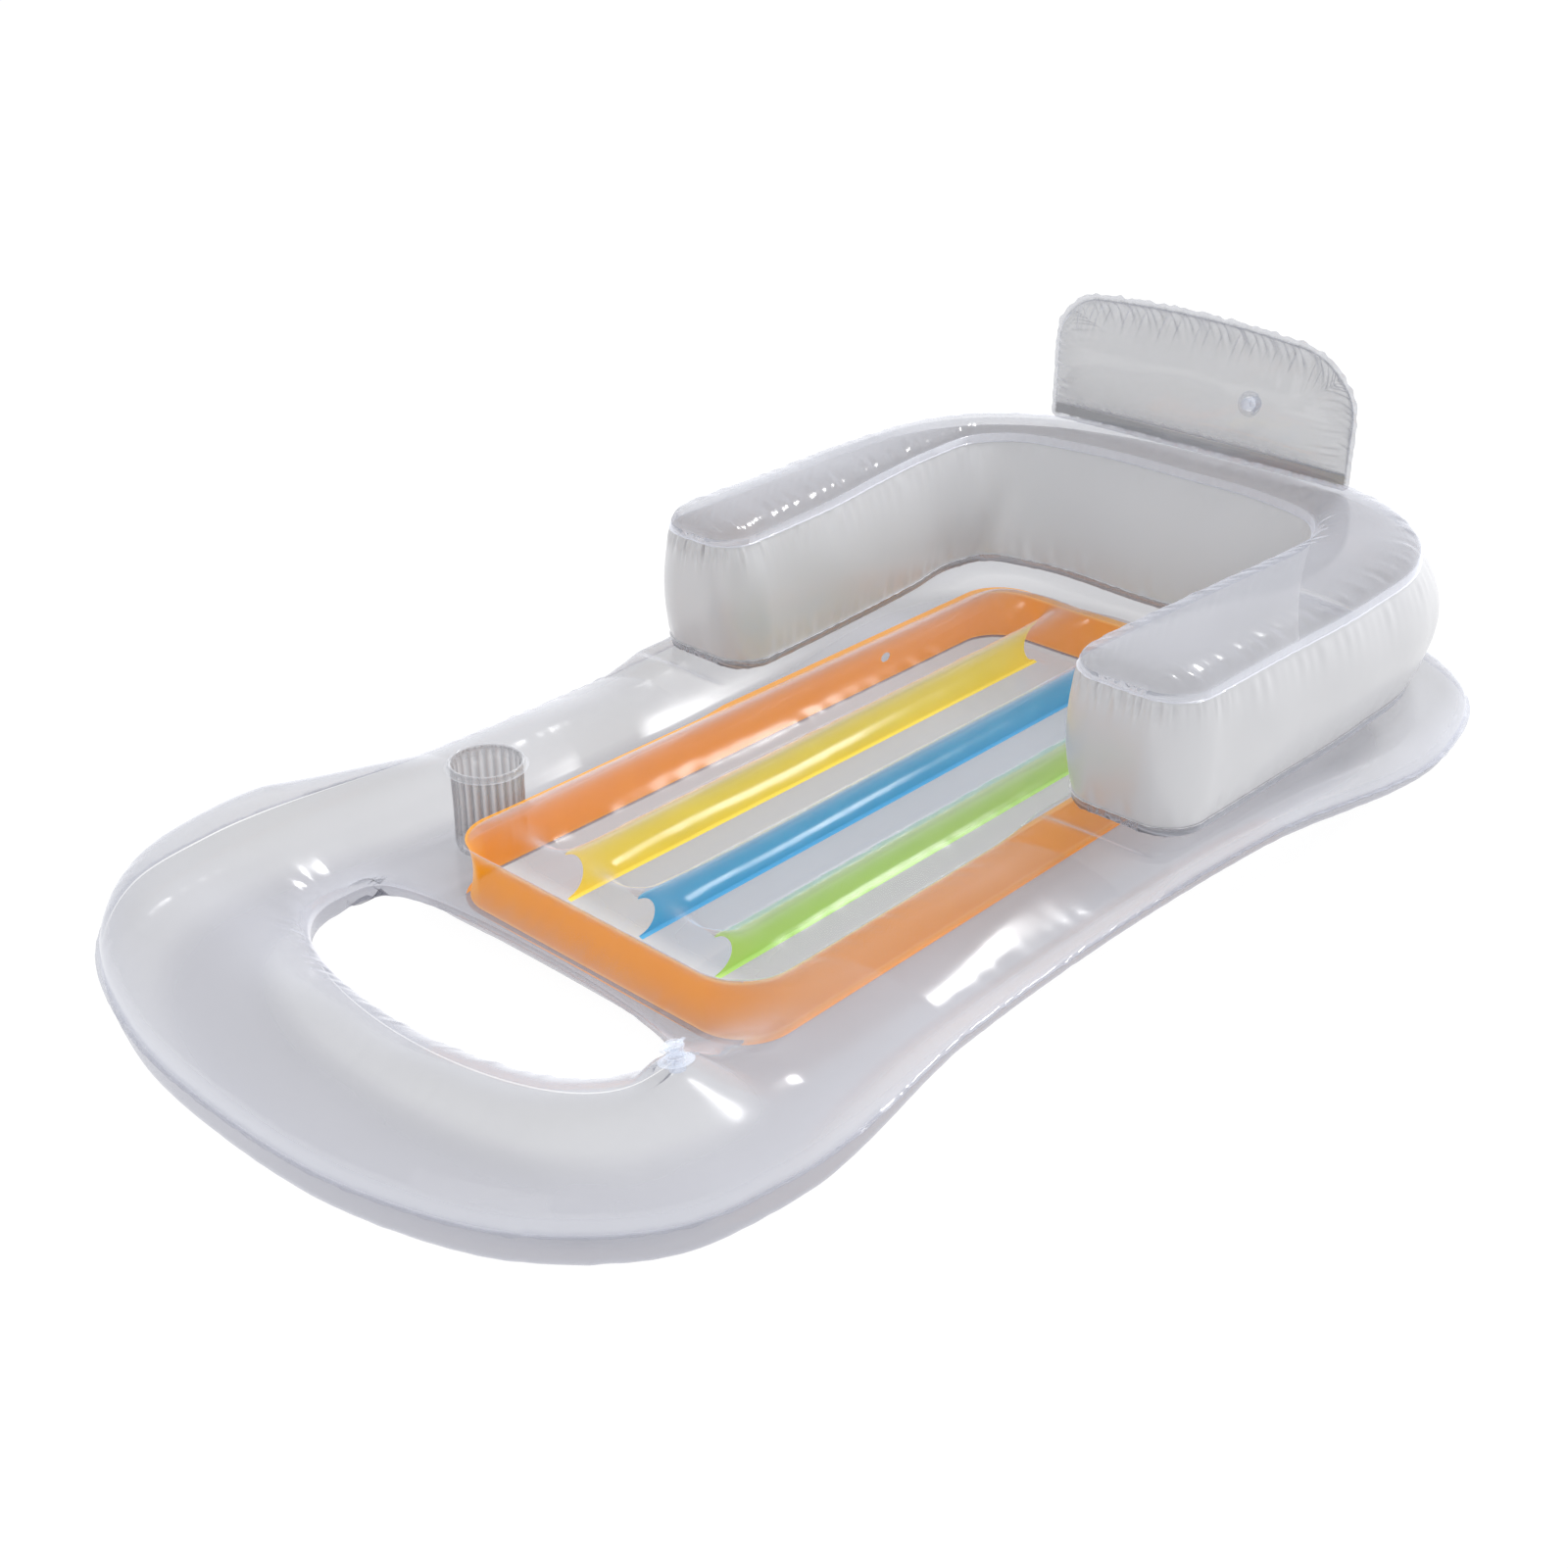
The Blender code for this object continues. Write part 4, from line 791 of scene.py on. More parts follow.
def cup_sleeve():
    """A tube whose radius swells and shrinks once for each rib, under a rolled rim and a flat lip."""
    angle = np.linspace(0, 2 * np.pi, CUP_COLUMNS + 1)[:, None]
    share = np.linspace(0, 1, CUP_ROWS + 1)
    rib = np.cos(CUP_RIBS * angle)
    fade = eased(share, 0, 0.08) * eased(1 - share, 0, 0.10)
    wall_radius = CUP_RADIUS + RIB_DEPTH * rib * fade - SLEEVE_WAIST * np.sin(np.pi * share)
    wall_height = lerp(cup_low[2], cup_high[2] + ROLL_RISE, share)
    turn = np.linspace(0, np.pi, ROLL_STEPS + 1)
    lip = CUP_RADIUS + 2 * ROLL_RADIUS + np.linspace(0.1, 1, LIP_STEPS) * CUP_LIP
    rim_radius = np.concatenate([CUP_RADIUS + ROLL_RADIUS * (1 - np.cos(turn)), lip])
    rim_height = np.concatenate([cup_high[2] + ROLL_RISE + ROLL_RADIUS * np.sin(turn),
                                 np.full(LIP_STEPS, cup_high[2])])
    rim = np.zeros((len(angle), len(rim_radius)))
    radius = np.concatenate([wall_radius, rim + rim_radius], axis=1)
    grid = turned(radius, np.concatenate([wall_height, rim_height]), angle, CUP_CENTRE)
    # Painted light and shade: the rib crests are drawn paler and the hollows between them denser, so the
    # ribs read as lit and shaded bars.
    crest = (1 + rib) / 2 * fade
    fields = {"weld": [np.concatenate([0.7 * crest, rim + 1], axis=1)],
              "veil": [np.concatenate([0.28 * (1 - crest), rim], axis=1)]}
    return mesh_piece("cup_holder_ribbed_sleeve", (grid,), flipped=True, fields=fields)


def cup_floor():
    """A disc with a shallow dish, and faint rings pressed into it: a cosine of its radius."""
    angle = np.linspace(0, 2 * np.pi, CUP_COLUMNS + 1)[:, None]
    share = np.linspace(0, 1, FLOOR_ROWS + 1)
    radius = share * (floor_high[0] - floor_low[0]) / 2
    height = floor_high[2] - FLOOR_RINGS + FLOOR_RINGS * np.cos(6 * np.pi * share) * (share < 0.9)
    return mesh_piece("cup_holder_floor_disc", (turned(radius, height, angle, CUP_CENTRE),), flipped=True)


SMOKE_FILM = film_material("smoke_film_pvc", colour=(0.25, 0.25, 0.265), pale=(0.66, 0.67, 0.70),
                           see_through=0.30, edge_on=0.85, gloss=0.10, grain=140, ior=1.9)
dress(cup_sleeve(), SMOKE_FILM, "smoke_film", "base", "cup_holder_sleeve")
dress(cup_floor(), SMOKE_FILM, "smoke_film", "base", "cup_holder_floor")


# Bolster: one air chamber that makes both armrests and the backrest. Its wall is a band of satin
# pearl film, with a clear film welded on top and a clear film below, which is welded to the base.

BACK_REAR = 0.744
BOLSTER_HALF_WIDTH = 0.375
LOW_SEAM = 0.101
HIGH_SEAM = 0.240
CROWN = 0.030
CROWN_FULLNESS = 0.36
CROWN_SLACK = 0.0010
FRONT_CORNER = 0.046
SKIRT_DROP = 0.015
SKIRT_FULLNESS = 0.12
SKIRT_FOOT = 0.0872
WALL_BULGE = 0.011
REAR_BULGE = 0.015
WALL_SLACK = 0.0018
FRONT_REACH = 0.03                  # how far from the armrests' fronts the finest strokes go
BEAD = 0.0025                       # welded edge that stands out along both seams
BEAD_SCALLOP = 0.0003
CORNER_STEPS = 40
LENGTH_STEPS = 250
FRONT_CROWDING = 1.35               # columns are closer together towards the armrests' fronts
ACROSS_STEPS = 46
WALL_ROWS = 36

# Seams of the +X half, front to rear: x of the bolster's half width, y from the front to the rear
INNER_LOW_SHARES = ((0.589, 0), (0.608, 0.246), (0.640, 0.50), (0.668, 0.649), (0.627, 0.725),
                    (0.48, 0.755), (0, 0.755))
OUTER_LOW_SHARES = ((0.987, 0), (0.997, 0.246), (1.008, 0.53), (0.981, 0.731), (0.875, 0.858),
                    (0.667, 0.951), (0.40, 0.993), (0, 1))
OUTER_HIGH_SHARES = ((0.976, 0), (0.985, 0.231), (0.997, 0.53), (0.965, 0.724), (0.859, 0.843),
                     (0.667, 0.933), (0.40, 0.985), (0, 1))
# The upper inner seam isn't even: the left armrest leans out and the right one leans in
INNER_HIGH_LEFT = ((0.638, 0), (0.652, 0.064), (0.660, 0.144), (0.680, 0.290), (0.725, 0.460),
                   (0.757, 0.634), (0.745, 0.757), (0.637, 0.824), (0.421, 0.854), (0, 0.860))
INNER_HIGH_RIGHT = ((0.582, 0), (0.587, 0.126), (0.598, 0.281), (0.610, 0.417), (0.622, 0.561),
                    (0.614, 0.721), (0.520, 0.809), (0.320, 0.850), (0, 0.860))


def bolster_seam(left, right):
    """A seam from the left armrest's front, round the back, to the right one's, and how far each of
    its points is from the nearer front."""
    points = [(-x * BOLSTER_HALF_WIDTH, lerp(ARM_FRONT, BACK_REAR, y)) for x, y in left]
    points += [(x * BOLSTER_HALF_WIDTH, lerp(ARM_FRONT, BACK_REAR, y)) for x, y in right[-2::-1]]
    line = SeamLine(points)
    middle = line.knot(len(left) - 1)
    turn = np.linspace(0, np.pi / 2, CORNER_STEPS + 1)
    front = FRONT_CORNER * (1 - np.cos(turn))
    steps = np.linspace(0, 1, LENGTH_STEPS + 1)[1:] ** FRONT_CROWDING
    left_run = np.concatenate([front, lerp(front[-1], middle, steps)])
    right_run = np.concatenate([front, lerp(front[-1], line.length - middle, steps)])[-2::-1]
    seam = line.at(np.concatenate([left_run, line.length - right_run]))
    return seam, np.concatenate([left_run, right_run])


def bolster_plan(inner_left, inner_right, outer_shares):
    """Plan grid between two seams, with round front corners: rows from the left front to the right
    front, columns from inside to outside. With it, distances from both seams and from the front."""
    inner, inner_run = bolster_seam(inner_left, inner_right)
    outer, outer_run = bolster_seam(outer_shares, outer_shares)
    width = np.linalg.norm(outer - inner, axis=1)
    turn = np.linspace(0, np.pi / 2, CORNER_STEPS + 1)
    trim = np.zeros(len(inner))
    trim[:CORNER_STEPS + 1] = FRONT_CORNER * (1 - np.sin(turn))
    trim[-CORNER_STEPS - 1:] = trim[CORNER_STEPS::-1]
    across = crowded_ends(ACROSS_STEPS)
    share = lerp((trim / width)[:, None], 1 - (trim / width)[:, None], across)
    plan = lerp(inner[:, None], outer[:, None], share[..., None])
    free = (width - 2 * trim)[:, None]
    front = lerp(inner_run[:, None], outer_run[:, None], share)
    return plan, (across * free, (1 - across) * free, front)


def around(grid):
    """Closed edge of a bolster grid: along the inside, across the right front, and back outside."""
    return np.concatenate([grid[:, 0], grid[-1, 1:], grid[-2::-1, -1], grid[0, -2::-1]])


HIGH_PLAN, HIGH_GAPS = bolster_plan(INNER_HIGH_LEFT, INNER_HIGH_RIGHT, OUTER_HIGH_SHARES)
LOW_PLAN, LOW_GAPS = bolster_plan(INNER_LOW_SHARES, INNER_LOW_SHARES, OUTER_LOW_SHARES)


def bolster_swell(plan, fullness):
    """Zero at the seams, about one along the middle. Each stretch of seam pulls by its length over
    its distance squared, so a long strip's pull is pi times its width over both its gaps' product."""
    loop = around(plan)
    middle, length = (loop[1:] + loop[:-1]) / 2, np.linalg.norm(np.diff(loop, axis=0), axis=1)
    flat = plan.reshape(-1, 2)
    pulls = []
    for some in np.array_split(flat, len(flat) // CHUNK):
        square = ((some[:, None] - middle) ** 2).sum(axis=-1)
        pulls.append((length / np.maximum(square, 1e-9)).sum(axis=1))
    pull = np.concatenate(pulls).reshape(plan.shape[:2])
    width = np.linalg.norm(plan[:, -1] - plan[:, 0], axis=1)
    width = np.maximum(width, width[CORNER_STEPS])[:, None]
    swell = (4 * np.pi / (width * pull)) ** fullness
    swell[[0, -1]] = 0
    swell[:, [0, -1]] = 0
    return swell


def bolster_sheet_strokes(plan, gaps, reach, seed):
    """Puckers square to the inner seam, the outer seam and the front of a bolster sheet."""
    inner, outer, front = gaps
    inner_share, outer_share = run_share(plan[:, 0])[:, None], run_share(plan[:, -1])[:, None]
    across = run_share(plan[len(plan) // 2])[None, :]
    strokes = pucker(inner, reach, inner_share, 55, seed)
    strokes = strokes + pucker(outer, reach, outer_share, 65, seed + 1)
    fine = pucker(inner, reach, inner_share, 150, seed + 2)
    fine = fine + pucker(outer, reach, outer_share, 180, seed + 3)
    return strokes + fading(front, FRONT_REACH) * (fine + pucker(front, reach, across, 7, seed + 4))


def bead_strip(loop, height, slant):
    """The welded edge along a seam: a narrow strip that stands out from a closed row of points."""
    share = np.array([0, 0.5, 1])
    scallop = BEAD_SCALLOP * ripple(run_share(loop), 150, 97)
    plan = loop[:, None] + outward(loop)[:, None] * (share * BEAD)[:, None]
    return stacked(plan, height + slant * share * BEAD + scallop[:, None] * share)


def bolster_top_film():
    """The crown between the upper seams, and the welded edge round it."""
    swell = bolster_swell(HIGH_PLAN, CROWN_FULLNESS)
    strokes = 0.0006 * bolster_sheet_strokes(HIGH_PLAN, HIGH_GAPS, 0.012, 101)
    slow = CROWN_SLACK * unevenness(HIGH_PLAN, 0.16, 13) * np.clip(swell, 0, 1) ** 2
    sheet = stacked(HIGH_PLAN, HIGH_SEAM + CROWN * swell + strokes + slow)
    bead = bead_strip(around(HIGH_PLAN), HIGH_SEAM, -0.3)
    near_seam = fading(np.minimum.reduce(HIGH_GAPS), 0.0015)
    fields = {"weld": [0.45 + 0.55 * near_seam, np.ones(bead.shape[:2])],
              "veil": [0.08 + 0.3 * near_seam, np.full(bead.shape[:2], 0.35)]}
    return mesh_piece("bolster_top_film", (sheet, bead[:, ::-1]), fields=fields)


def bolster_bottom_film():
    """The skirt that drops from the lower seams to the base, and the sheet that lies on the base."""
    drop = SKIRT_DROP * bolster_swell(LOW_PLAN, SKIRT_FULLNESS)
    strokes = 0.0008 * bolster_sheet_strokes(LOW_PLAN, LOW_GAPS, 0.006, 111)
    sheet = stacked(LOW_PLAN, np.maximum(LOW_SEAM - drop + strokes, SKIRT_FOOT))
    # Painted shade: the film is drawn denser and darker near the lower seams, on the skirt under the wall.
    near_seam = fading(np.minimum.reduce(LOW_GAPS), 0.012)
    fields = {"veil": [0.55 * near_seam], "weld": [np.full(near_seam.shape, 0.1)]}
    return mesh_piece("bolster_bottom_film", (sheet,), flipped=True, fields=fields)


def bolster_wall():
    """The band from the lower seam to the upper, bulging by a sine, more towards the rear, with
    strokes under the upper seam that are deepest on the armrests' fronts."""
    low, high = around(LOW_PLAN), around(HIGH_PLAN)
    share = crowded_ends(WALL_ROWS)
    middle = (low + high) / 2
    run = run_share(middle)[:, None]
    count = len(HIGH_PLAN)
    outside = np.zeros(len(low))
    outside[count + ACROSS_STEPS:2 * count + ACROSS_STEPS] = 1
    rearward = eased(middle[:, 1], ARM_FRONT, BACK_REAR)
    bulge = (WALL_BULGE + REAR_BULGE * rearward * outside)[:, None] * np.sin(np.pi * share) ** 0.85
    slow = WALL_SLACK * np.sin(np.pi * share) * ripple(run, 16, 123)
    from_foot, from_top = share * (HIGH_SEAM - LOW_SEAM), (1 - share) * (HIGH_SEAM - LOW_SEAM)
    at_front = fading(np.maximum(middle[:, 1] - ARM_FRONT, 0), FRONT_REACH)[:, None]
    strokes = 0.0006 * pucker(from_top, 0.012, run, 130, 121)
    strokes = strokes + 0.0024 * at_front * pucker(from_top, 0.008, run, 400, 124)
    strokes = strokes + 0.0006 * pucker(from_foot, 0.010, run, 120, 122)
    plan = lerp(low[:, None], high[:, None], share[:, None])
    plan = plan + outward(middle)[:, None] * (bulge + slow + strokes)[..., None]
    wall, hole = bored(stacked(plan, lerp(LOW_SEAM, HIGH_SEAM, share)), "bolster")
    bead = bead_strip(low, LOW_SEAM, 0.2)
    fields = {"weld": [np.zeros(wall.shape[:2]), np.ones(bead.shape[:2])],
              "veil": [np.ones(wall.shape[:2]), np.full(bead.shape[:2], 0.5)]}
    holes = [hole, np.zeros(bead.shape[:2], bool)]
    return mesh_piece("bolster_wall_film", (wall, bead), holes=holes, fields=fields)


def pearl_material():
    """Satin pearl film: grey with slow clouds, a fine mica fleck and a soft coat. Daylight that comes
    through the film brightens its inner side."""
    material = film_material("pearl_film_pvc", colour=(0.56, 0.56, 0.575), pale=(0.64, 0.64, 0.655),
                             see_through=0.9, edge_on=1.0, gloss=0.28, grain=260)
    tree = material.node_tree
    shader = tree.nodes["Principled BSDF"]
    side = add_node(tree, "ShaderNodeNewGeometry").outputs["Backfacing"]
    tree.links.new(spread(tree, side, 0, 1, 0.05, 0.22), shader.inputs["Emission Strength"])
    shader.inputs["Metallic"].default_value = 0.12
    shader.inputs["Coat Weight"].default_value = 0.25
    shader.inputs["Coat Roughness"].default_value = 0.16
    return material


PEARL_FILM = pearl_material()
dress(bolster_wall(), PEARL_FILM, "pearl_film", "base", "bolster_wall")
dress(bolster_top_film(), CLEAR_FILM, "clear_film", "base", "bolster_top_sheet")
dress(bolster_bottom_film(), CLEAR_FILM, "clear_film", "base", "bolster_bottom_sheet")


# Headrest: two clear sheets welded round their edge into a pillow that stands on the bolster's
# crest. The flat weld below works as its hinge, and puckers run in from the curved top edge.

HEADREST_HALF_WIDTH = 0.209
HEADREST_HEIGHT = 0.161
HEADREST_EDGE = 0.008
HEADREST_BULGE = 0.038
HEADREST_ARCH = 0.09                # share of the height by which the top falls to its ends
HIGHEST_POINT = -0.04               # of the top, left of the middle
LEFT_CORNER = 0.055
RIGHT_CORNER = 0.075
STRIP_TOP = 0.022                   # the flat welded strip along the foot
HEADREST_SLACK = 0.0012
HEADREST_COLUMNS = 320
HEADREST_ROWS = 130
headrest_foot = np.array(joints["headrest_tilt"]["pos_m"], float)

# Puckers in from the sides, the top and the foot: depth, reach, waves and seed
SIDE_STROKES = (0.0011, 0.012, 12, 131)
TOP_STROKES = (0.0022, 0.012, 26, 132)
FOOT_STROKES = (0.00088, 0.010, 20, 133)


def headrest_sheet(side):
    """A panel with round upper corners and an arched top. Its crown is a root across and a power of
    a sine upwards, so it falls to zero at the weld, and strokes run square to the edge."""
    across = crowded_ends(HEADREST_COLUMNS) * 2 - 1
    up = crowded_ends(HEADREST_ROWS)
    u, v = np.meshgrid(across, up, indexing="ij")
    x, z = u * HEADREST_HALF_WIDTH, HEADREST_EDGE + v * HEADREST_HEIGHT
    top = HEADREST_EDGE + HEADREST_HEIGHT
    x, z = round_corner(x, z, HEADREST_HALF_WIDTH - RIGHT_CORNER, top - RIGHT_CORNER)
    left, z = round_corner(-x, z, HEADREST_HALF_WIDTH - LEFT_CORNER, top - LEFT_CORNER)
    x = -left
    strip = (STRIP_TOP - HEADREST_EDGE) / HEADREST_HEIGHT
    lifted = np.clip((v - strip) / (1 - strip), 0, 1)
    crown = np.sqrt(1 - u ** 4) * np.maximum(np.sin(np.pi * lifted), 0) ** 0.6
    z = z * (1 - HEADREST_ARCH * ((x - HIGHEST_POINT) / HEADREST_HALF_WIDTH) ** 2)
    along = (u + 1) / 2
    relief = seam_strokes(((1 - np.abs(u)) * HEADREST_HALF_WIDTH, v), SIDE_STROKES)
    relief = relief + seam_strokes(((1 - v) * HEADREST_HEIGHT, along), TOP_STROKES)
    relief = relief + seam_strokes((v * HEADREST_HEIGHT, along), FOOT_STROKES)
    relief = relief + HEADREST_SLACK * unevenness(np.stack([x, z], axis=-1), 0.09, 134)
    y = HEADREST_BULGE * crown + relief * np.clip(crown * 3, 0, 1)
    return np.stack([x, side * (y + FILM_GAP / 4), z], axis=-1)


def headrest_flange(sheet, side):
    """The welded edge: from the pillow's rim outwards, scalloped along the top, with a slight wave."""
    rim = np.concatenate([sheet[:, 0], sheet[-1, 1:], sheet[-2::-1, -1], sheet[0, -2::-1]])
    away = outward(rim[:, ::2])
    run = run_share(rim)
    scallop = 0.86 + 0.14 * ripple(run, 55, 136) * (rim[:, 2] > HEADREST_HEIGHT / 2)
    reach = np.array([0, 0.5, 1]) * HEADREST_EDGE * scallop[:, None]
    plan = rim[:, None, ::2] + away[:, None] * reach[..., None]
    wave = ripple(run, 60, 135)[:, None] * 0.10 * reach
    plan[..., 1] = np.maximum(plan[..., 1], 0)
    return np.stack([plan[..., 0], side * FILM_GAP / 4 + wave, plan[..., 1]], axis=-1)


def headrest_film(name, side):
    """One sheet with its welded edge, on the headrest's own foot line; the rear one has the valve."""
    sheet = headrest_sheet(side) + headrest_foot
    flange = headrest_flange(headrest_sheet(side), side) + headrest_foot
    hole = np.zeros(sheet.shape[:2], bool)
    if side > 0:
        sheet, hole = bored(sheet, "headrest")
    grids = (sheet, flange[:, ::-1])
    strip = 1 - eased(sheet[..., 2] - headrest_foot[2], STRIP_TOP - 0.003, STRIP_TOP)
    veil = [0.30 + 0.25 * strip, np.full(flange.shape[:2], 0.30)]
    weld = [0.14 * (1 - strip), np.full(flange.shape[:2], 0.6)]
    return mesh_piece(name, grids, flipped=side > 0, holes=[hole, np.zeros(flange.shape[:2], bool)],
                      fields={"veil": veil, "weld": weld})


for sheet_side, sheet_name in ((-1, "headrest_front"), (1, "headrest_back")):
    pillow = headrest_film(sheet_name + "_film", sheet_side)
    dress(pillow, CLEAR_FILM, "clear_film", "headrest", sheet_name + "_sheet")


# Air valves: soft bluish PVC. A flange is welded to the film, a stem tube slides in its collar, a
# stopper plug hangs on a strap that folds beside the stem, and a flap closes the tube's inner end.

TURN_STEPS = 64
FLANGE_PROFILE = ((0.0078, 0.0045), (0.0078, 0.0), (0.0155, 0.0), (0.0160, 0.0003), (0.0158, 0.0007),
                  (0.0140, 0.0008), (0.0136, 0.0010), (0.0130, 0.0008), (0.0106, 0.0010), (0.0099, 0.0018),
                  (0.0098, 0.0040), (0.0094, 0.0045), (0.0078, 0.0045))
STEM_PROFILE = ((0.0045, 0.0138), (0.0045, -0.0080), (0.0074, -0.0080), (0.0075, -0.0078), (0.0075, 0.0118),
                (0.0078, 0.0124), (0.0088, 0.0125), (0.0090, 0.0128), (0.0090, 0.0137), (0.0088, 0.0140),
                (0.0047, 0.0140), (0.0045, 0.0138))
PLUG_PROFILE = ((0.0, 0.0083), (0.0030, 0.0083), (0.0034, 0.0087), (0.0042, 0.0138), (0.0046, 0.0143),
                (0.0083, 0.0143), (0.0085, 0.0146), (0.0085, 0.0157), (0.0082, 0.0161), (0.0064, 0.0161),
                (0.0060, 0.0158), (0.0020, 0.0158), (0.0, 0.0158))
FLAP_PROFILE = ((0.0, -0.0089), (0.0057, -0.0089), (0.0060, -0.0087), (0.0060, -0.0085), (0.0057, -0.0083),
                (0.0, -0.0083))
STRAP_PATH = ((-0.0125, 0.0130), (-0.0136, 0.0133), (-0.0138, 0.0144), (-0.0134, 0.0154), (-0.0125, 0.0156),
              (-0.0084, 0.0154), (-0.0040, 0.0153))
TAB_PATH = ((0.0040, 0.0148), (0.0085, 0.0149), (0.0105, 0.0151), (0.0125, 0.0155))
LUG_PATH = ((-0.0070, 0.0133), (-0.0085, 0.0133), (-0.0100, 0.0133))
STRAP_WIDTH = 0.0040
STRAP_THICKNESS = 0.0009
STRAP_STEPS = 24
SECTION_STEPS = 20
SECTION_POWER = 0.35                # 1 gives an oval section, 0 a square one


def turned_grid(profile):
    """A profile of (radius, height) points carried round the valve's axis, upwards on its outside."""
    radius, height = np.array(profile).T
    return turned(radius, height, np.linspace(0, 2 * np.pi, TURN_STEPS + 1)[:, None])


def strap_grids(path):
    """A flat strap along a path in the valve's XZ plane: a section with powers of a cosine and a sine
    carried along the path, and closed by a small grid at each end."""
    line = SeamLine(path)
    middle = line.at(np.linspace(0, line.length, STRAP_STEPS + 1))
    along = np.gradient(middle, axis=0)
    normal = np.stack([-along[:, 1], along[:, 0]], axis=-1)
    normal = normal / np.linalg.norm(normal, axis=1, keepdims=True)
    angle = np.linspace(0, 2 * np.pi, SECTION_STEPS + 1)
    across, up = np.cos(angle), np.sin(angle)
    side = np.sign(across) * np.abs(across) ** SECTION_POWER * STRAP_WIDTH / 2
    lift = np.sign(up) * np.abs(up) ** SECTION_POWER * STRAP_THICKNESS / 2
    x = middle[:, None, 0] + normal[:, None, 0] * lift
    z = middle[:, None, 1] + normal[:, None, 1] * lift
    tube = np.stack([x, np.broadcast_to(side, x.shape), z], axis=-1)
    grids = [tube[:, ::-1]]
    for ring in (tube[0], tube[-1, ::-1]):
        grids.append(np.stack([ring, np.broadcast_to(ring.mean(axis=0), ring.shape)], axis=0))
    return grids


def valve_piece(name, part, grids):
    """A valve's piece, moved from the valve's own frame to its place in the film."""
    origin, axes = valve_axes(name)
    placed = [grid @ axes + origin for grid in grids]
    return mesh_piece(name + "_valve_" + part, placed)


def vinyl_material():
    """Moulded clear PVC with a blue tint, cloudy inside, with a fine moulding grain."""
    material = film_material("valve_vinyl_pvc", colour=(0.74, 0.80, 0.92), pale=(0.84, 0.88, 0.95),
                             see_through=0.15, edge_on=0.70, gloss=0.16, grain=900, glow=0.12)
    material.node_tree.nodes["Principled BSDF"].inputs["Coat Weight"].default_value = 0.2
    return material


VALVE_VINYL = vinyl_material()
VALVE_GRIDS = {"flange": ("welded_flange", [turned_grid(FLANGE_PROFILE)]),
               "stem": ("stem_tube", [turned_grid(STEM_PROFILE), *strap_grids(LUG_PATH)]),
               "plug": ("stopper_plug", [turned_grid(PLUG_PROFILE), *strap_grids(STRAP_PATH),
                                         *strap_grids(TAB_PATH)]),
               "flap": ("check_flap", [turned_grid(FLAP_PROFILE)])}
FLANGE_BODIES = {"base": "base", "bolster": "base", "headrest": "headrest"}
for valve, flange_body in FLANGE_BODIES.items():
    for part, (full_name, part_grids) in VALVE_GRIDS.items():
        valve_node = valve + "_valve_" + part
        body = flange_body if part == "flange" else valve_node
        dress(valve_piece(valve, full_name, part_grids), VALVE_VINYL, "valve_vinyl", body, valve_node)


# Studio: a wide white floor that glows a little, so that the clear film reads against white, a pale
# sky that is brighter overhead and behind, a small hard light behind the headrest, and a soft one.

FLOOR_SIZE = 80.0
FLOOR_GLOW = 0.93
SKY_LEVEL = 0.85
SKY_SLOPE = (-0.05, 0.40, 0.45)
SKY_COLOUR = (0.97, 0.98, 1.0, 1)
LIGHT_DISTANCE = 4.0
LIGHT_TARGET = Vector((0, 0, 0.1))


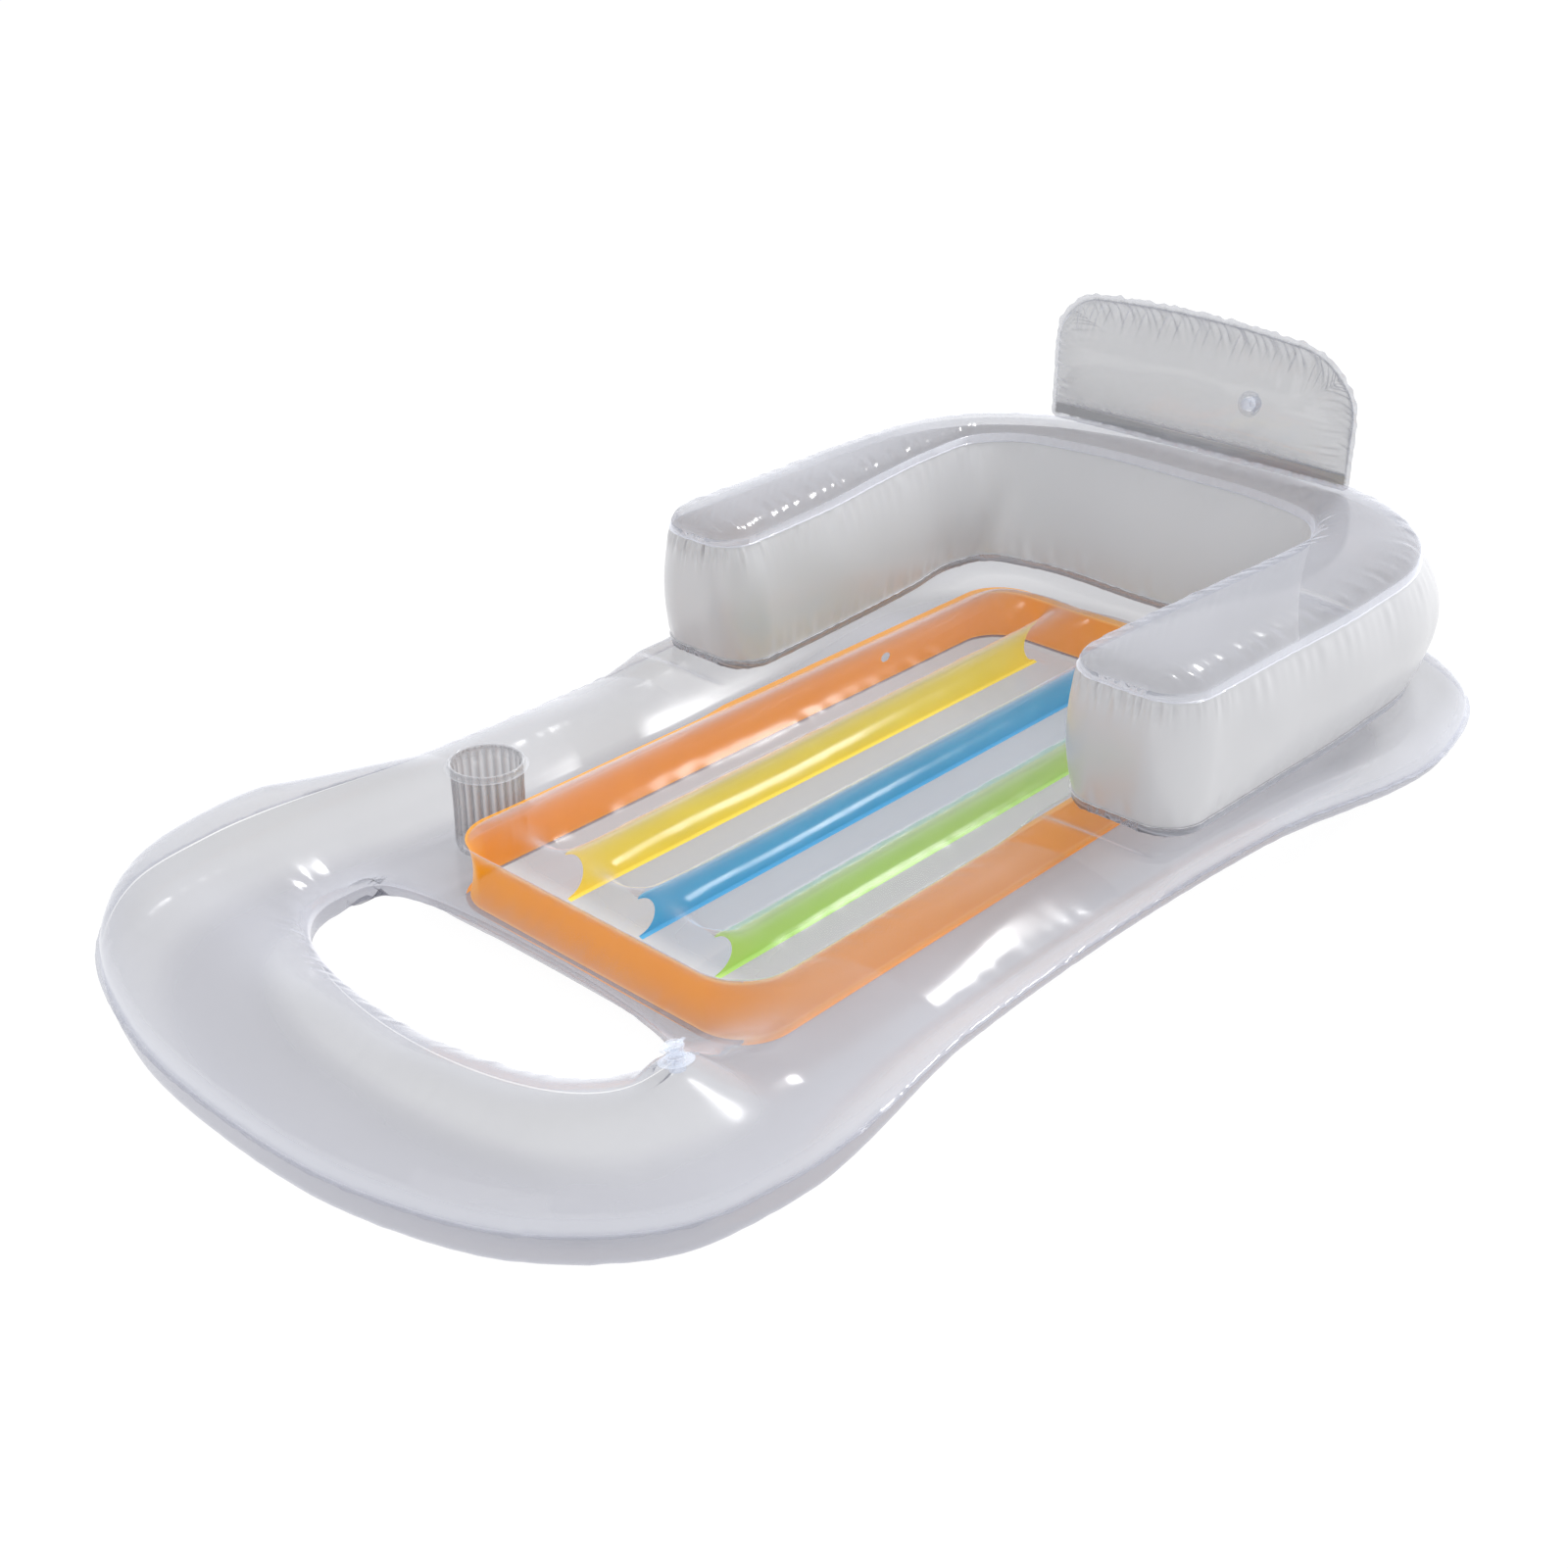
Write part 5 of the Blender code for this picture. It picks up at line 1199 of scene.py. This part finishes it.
def studio_floor():
    """A plane under the lounger, almost as bright as the background."""
    bpy.ops.mesh.primitive_plane_add(size=FLOOR_SIZE)
    floor = bpy.context.object
    floor.name = "studio_floor"
    material = bpy.data.materials.new("studio_white")
    material.use_nodes = True
    shader = material.node_tree.nodes["Principled BSDF"]
    shader.inputs["Base Color"].default_value = (0.1, 0.1, 0.1, 1)
    shader.inputs["Roughness"].default_value = 1.0
    shader.inputs["Specular IOR Level"].default_value = 0.0
    shader.inputs["Emission Color"].default_value = (1, 1, 1, 1)
    shader.inputs["Emission Strength"].default_value = FLOOR_GLOW
    floor.data.materials.append(material)


def square_light(name, direction, size, power):
    """A square lamp in a direction from the lounger, and turned to it; its size is its side's length."""
    lamp = bpy.data.lights.new(name, "AREA")
    lamp.size = size
    lamp.energy = power
    holder = bpy.data.objects.new(name, lamp)
    bpy.context.scene.collection.objects.link(holder)
    way = Vector(direction).normalized()
    holder.location = LIGHT_TARGET + way * LIGHT_DISTANCE
    holder.rotation_euler = way.to_track_quat("Z", "Y").to_euler()


def studio_sky():
    """World light: a plain slope in brightness, from the front's horizon up and over to the back."""
    world = bpy.data.worlds.new("studio_sky")
    world.use_nodes = True
    tree = world.node_tree
    place = add_node(tree, "ShaderNodeTexCoord").outputs["Generated"]
    slope = add_node(tree, "ShaderNodeVectorMath", {0: place, 1: SKY_SLOPE}, operation="DOT_PRODUCT")
    background = tree.nodes["Background"]
    strength = worked(tree, "ADD", slope.outputs["Value"], SKY_LEVEL)
    tree.links.new(strength, background.inputs["Strength"])
    background.inputs["Color"].default_value = SKY_COLOUR
    bpy.context.scene.world = world


studio_floor()
studio_sky()
square_light("key_light", direction=(0.02, 0.63, 0.765), size=0.6, power=70.0)
square_light("front_light", direction=(0.2, -0.9, 0.3), size=2.5, power=14.0)
bpy.context.scene.view_settings.view_transform = "Standard"
bpy.context.scene.cycles.transparent_max_bounces = 24


# Camera: where the photograph was taken from, above the foot end on the green beam's side.

CAMERA_PLACE = (1.262, -1.458, 1.09)
CAMERA_TURN = 42.65
CAMERA_PITCH = 28.1
FOCAL_LENGTH = 46.24
SENSOR_WIDTH = 36.0
lens = bpy.data.cameras.new("photo_camera")
lens.lens = FOCAL_LENGTH
lens.sensor_width = SENSOR_WIDTH
camera = bpy.data.objects.new("photo_camera", lens)
bpy.context.scene.collection.objects.link(camera)
camera.location = CAMERA_PLACE
camera.rotation_euler = np.radians((90 - CAMERA_PITCH, 0, CAMERA_TURN))
bpy.context.scene.camera = camera
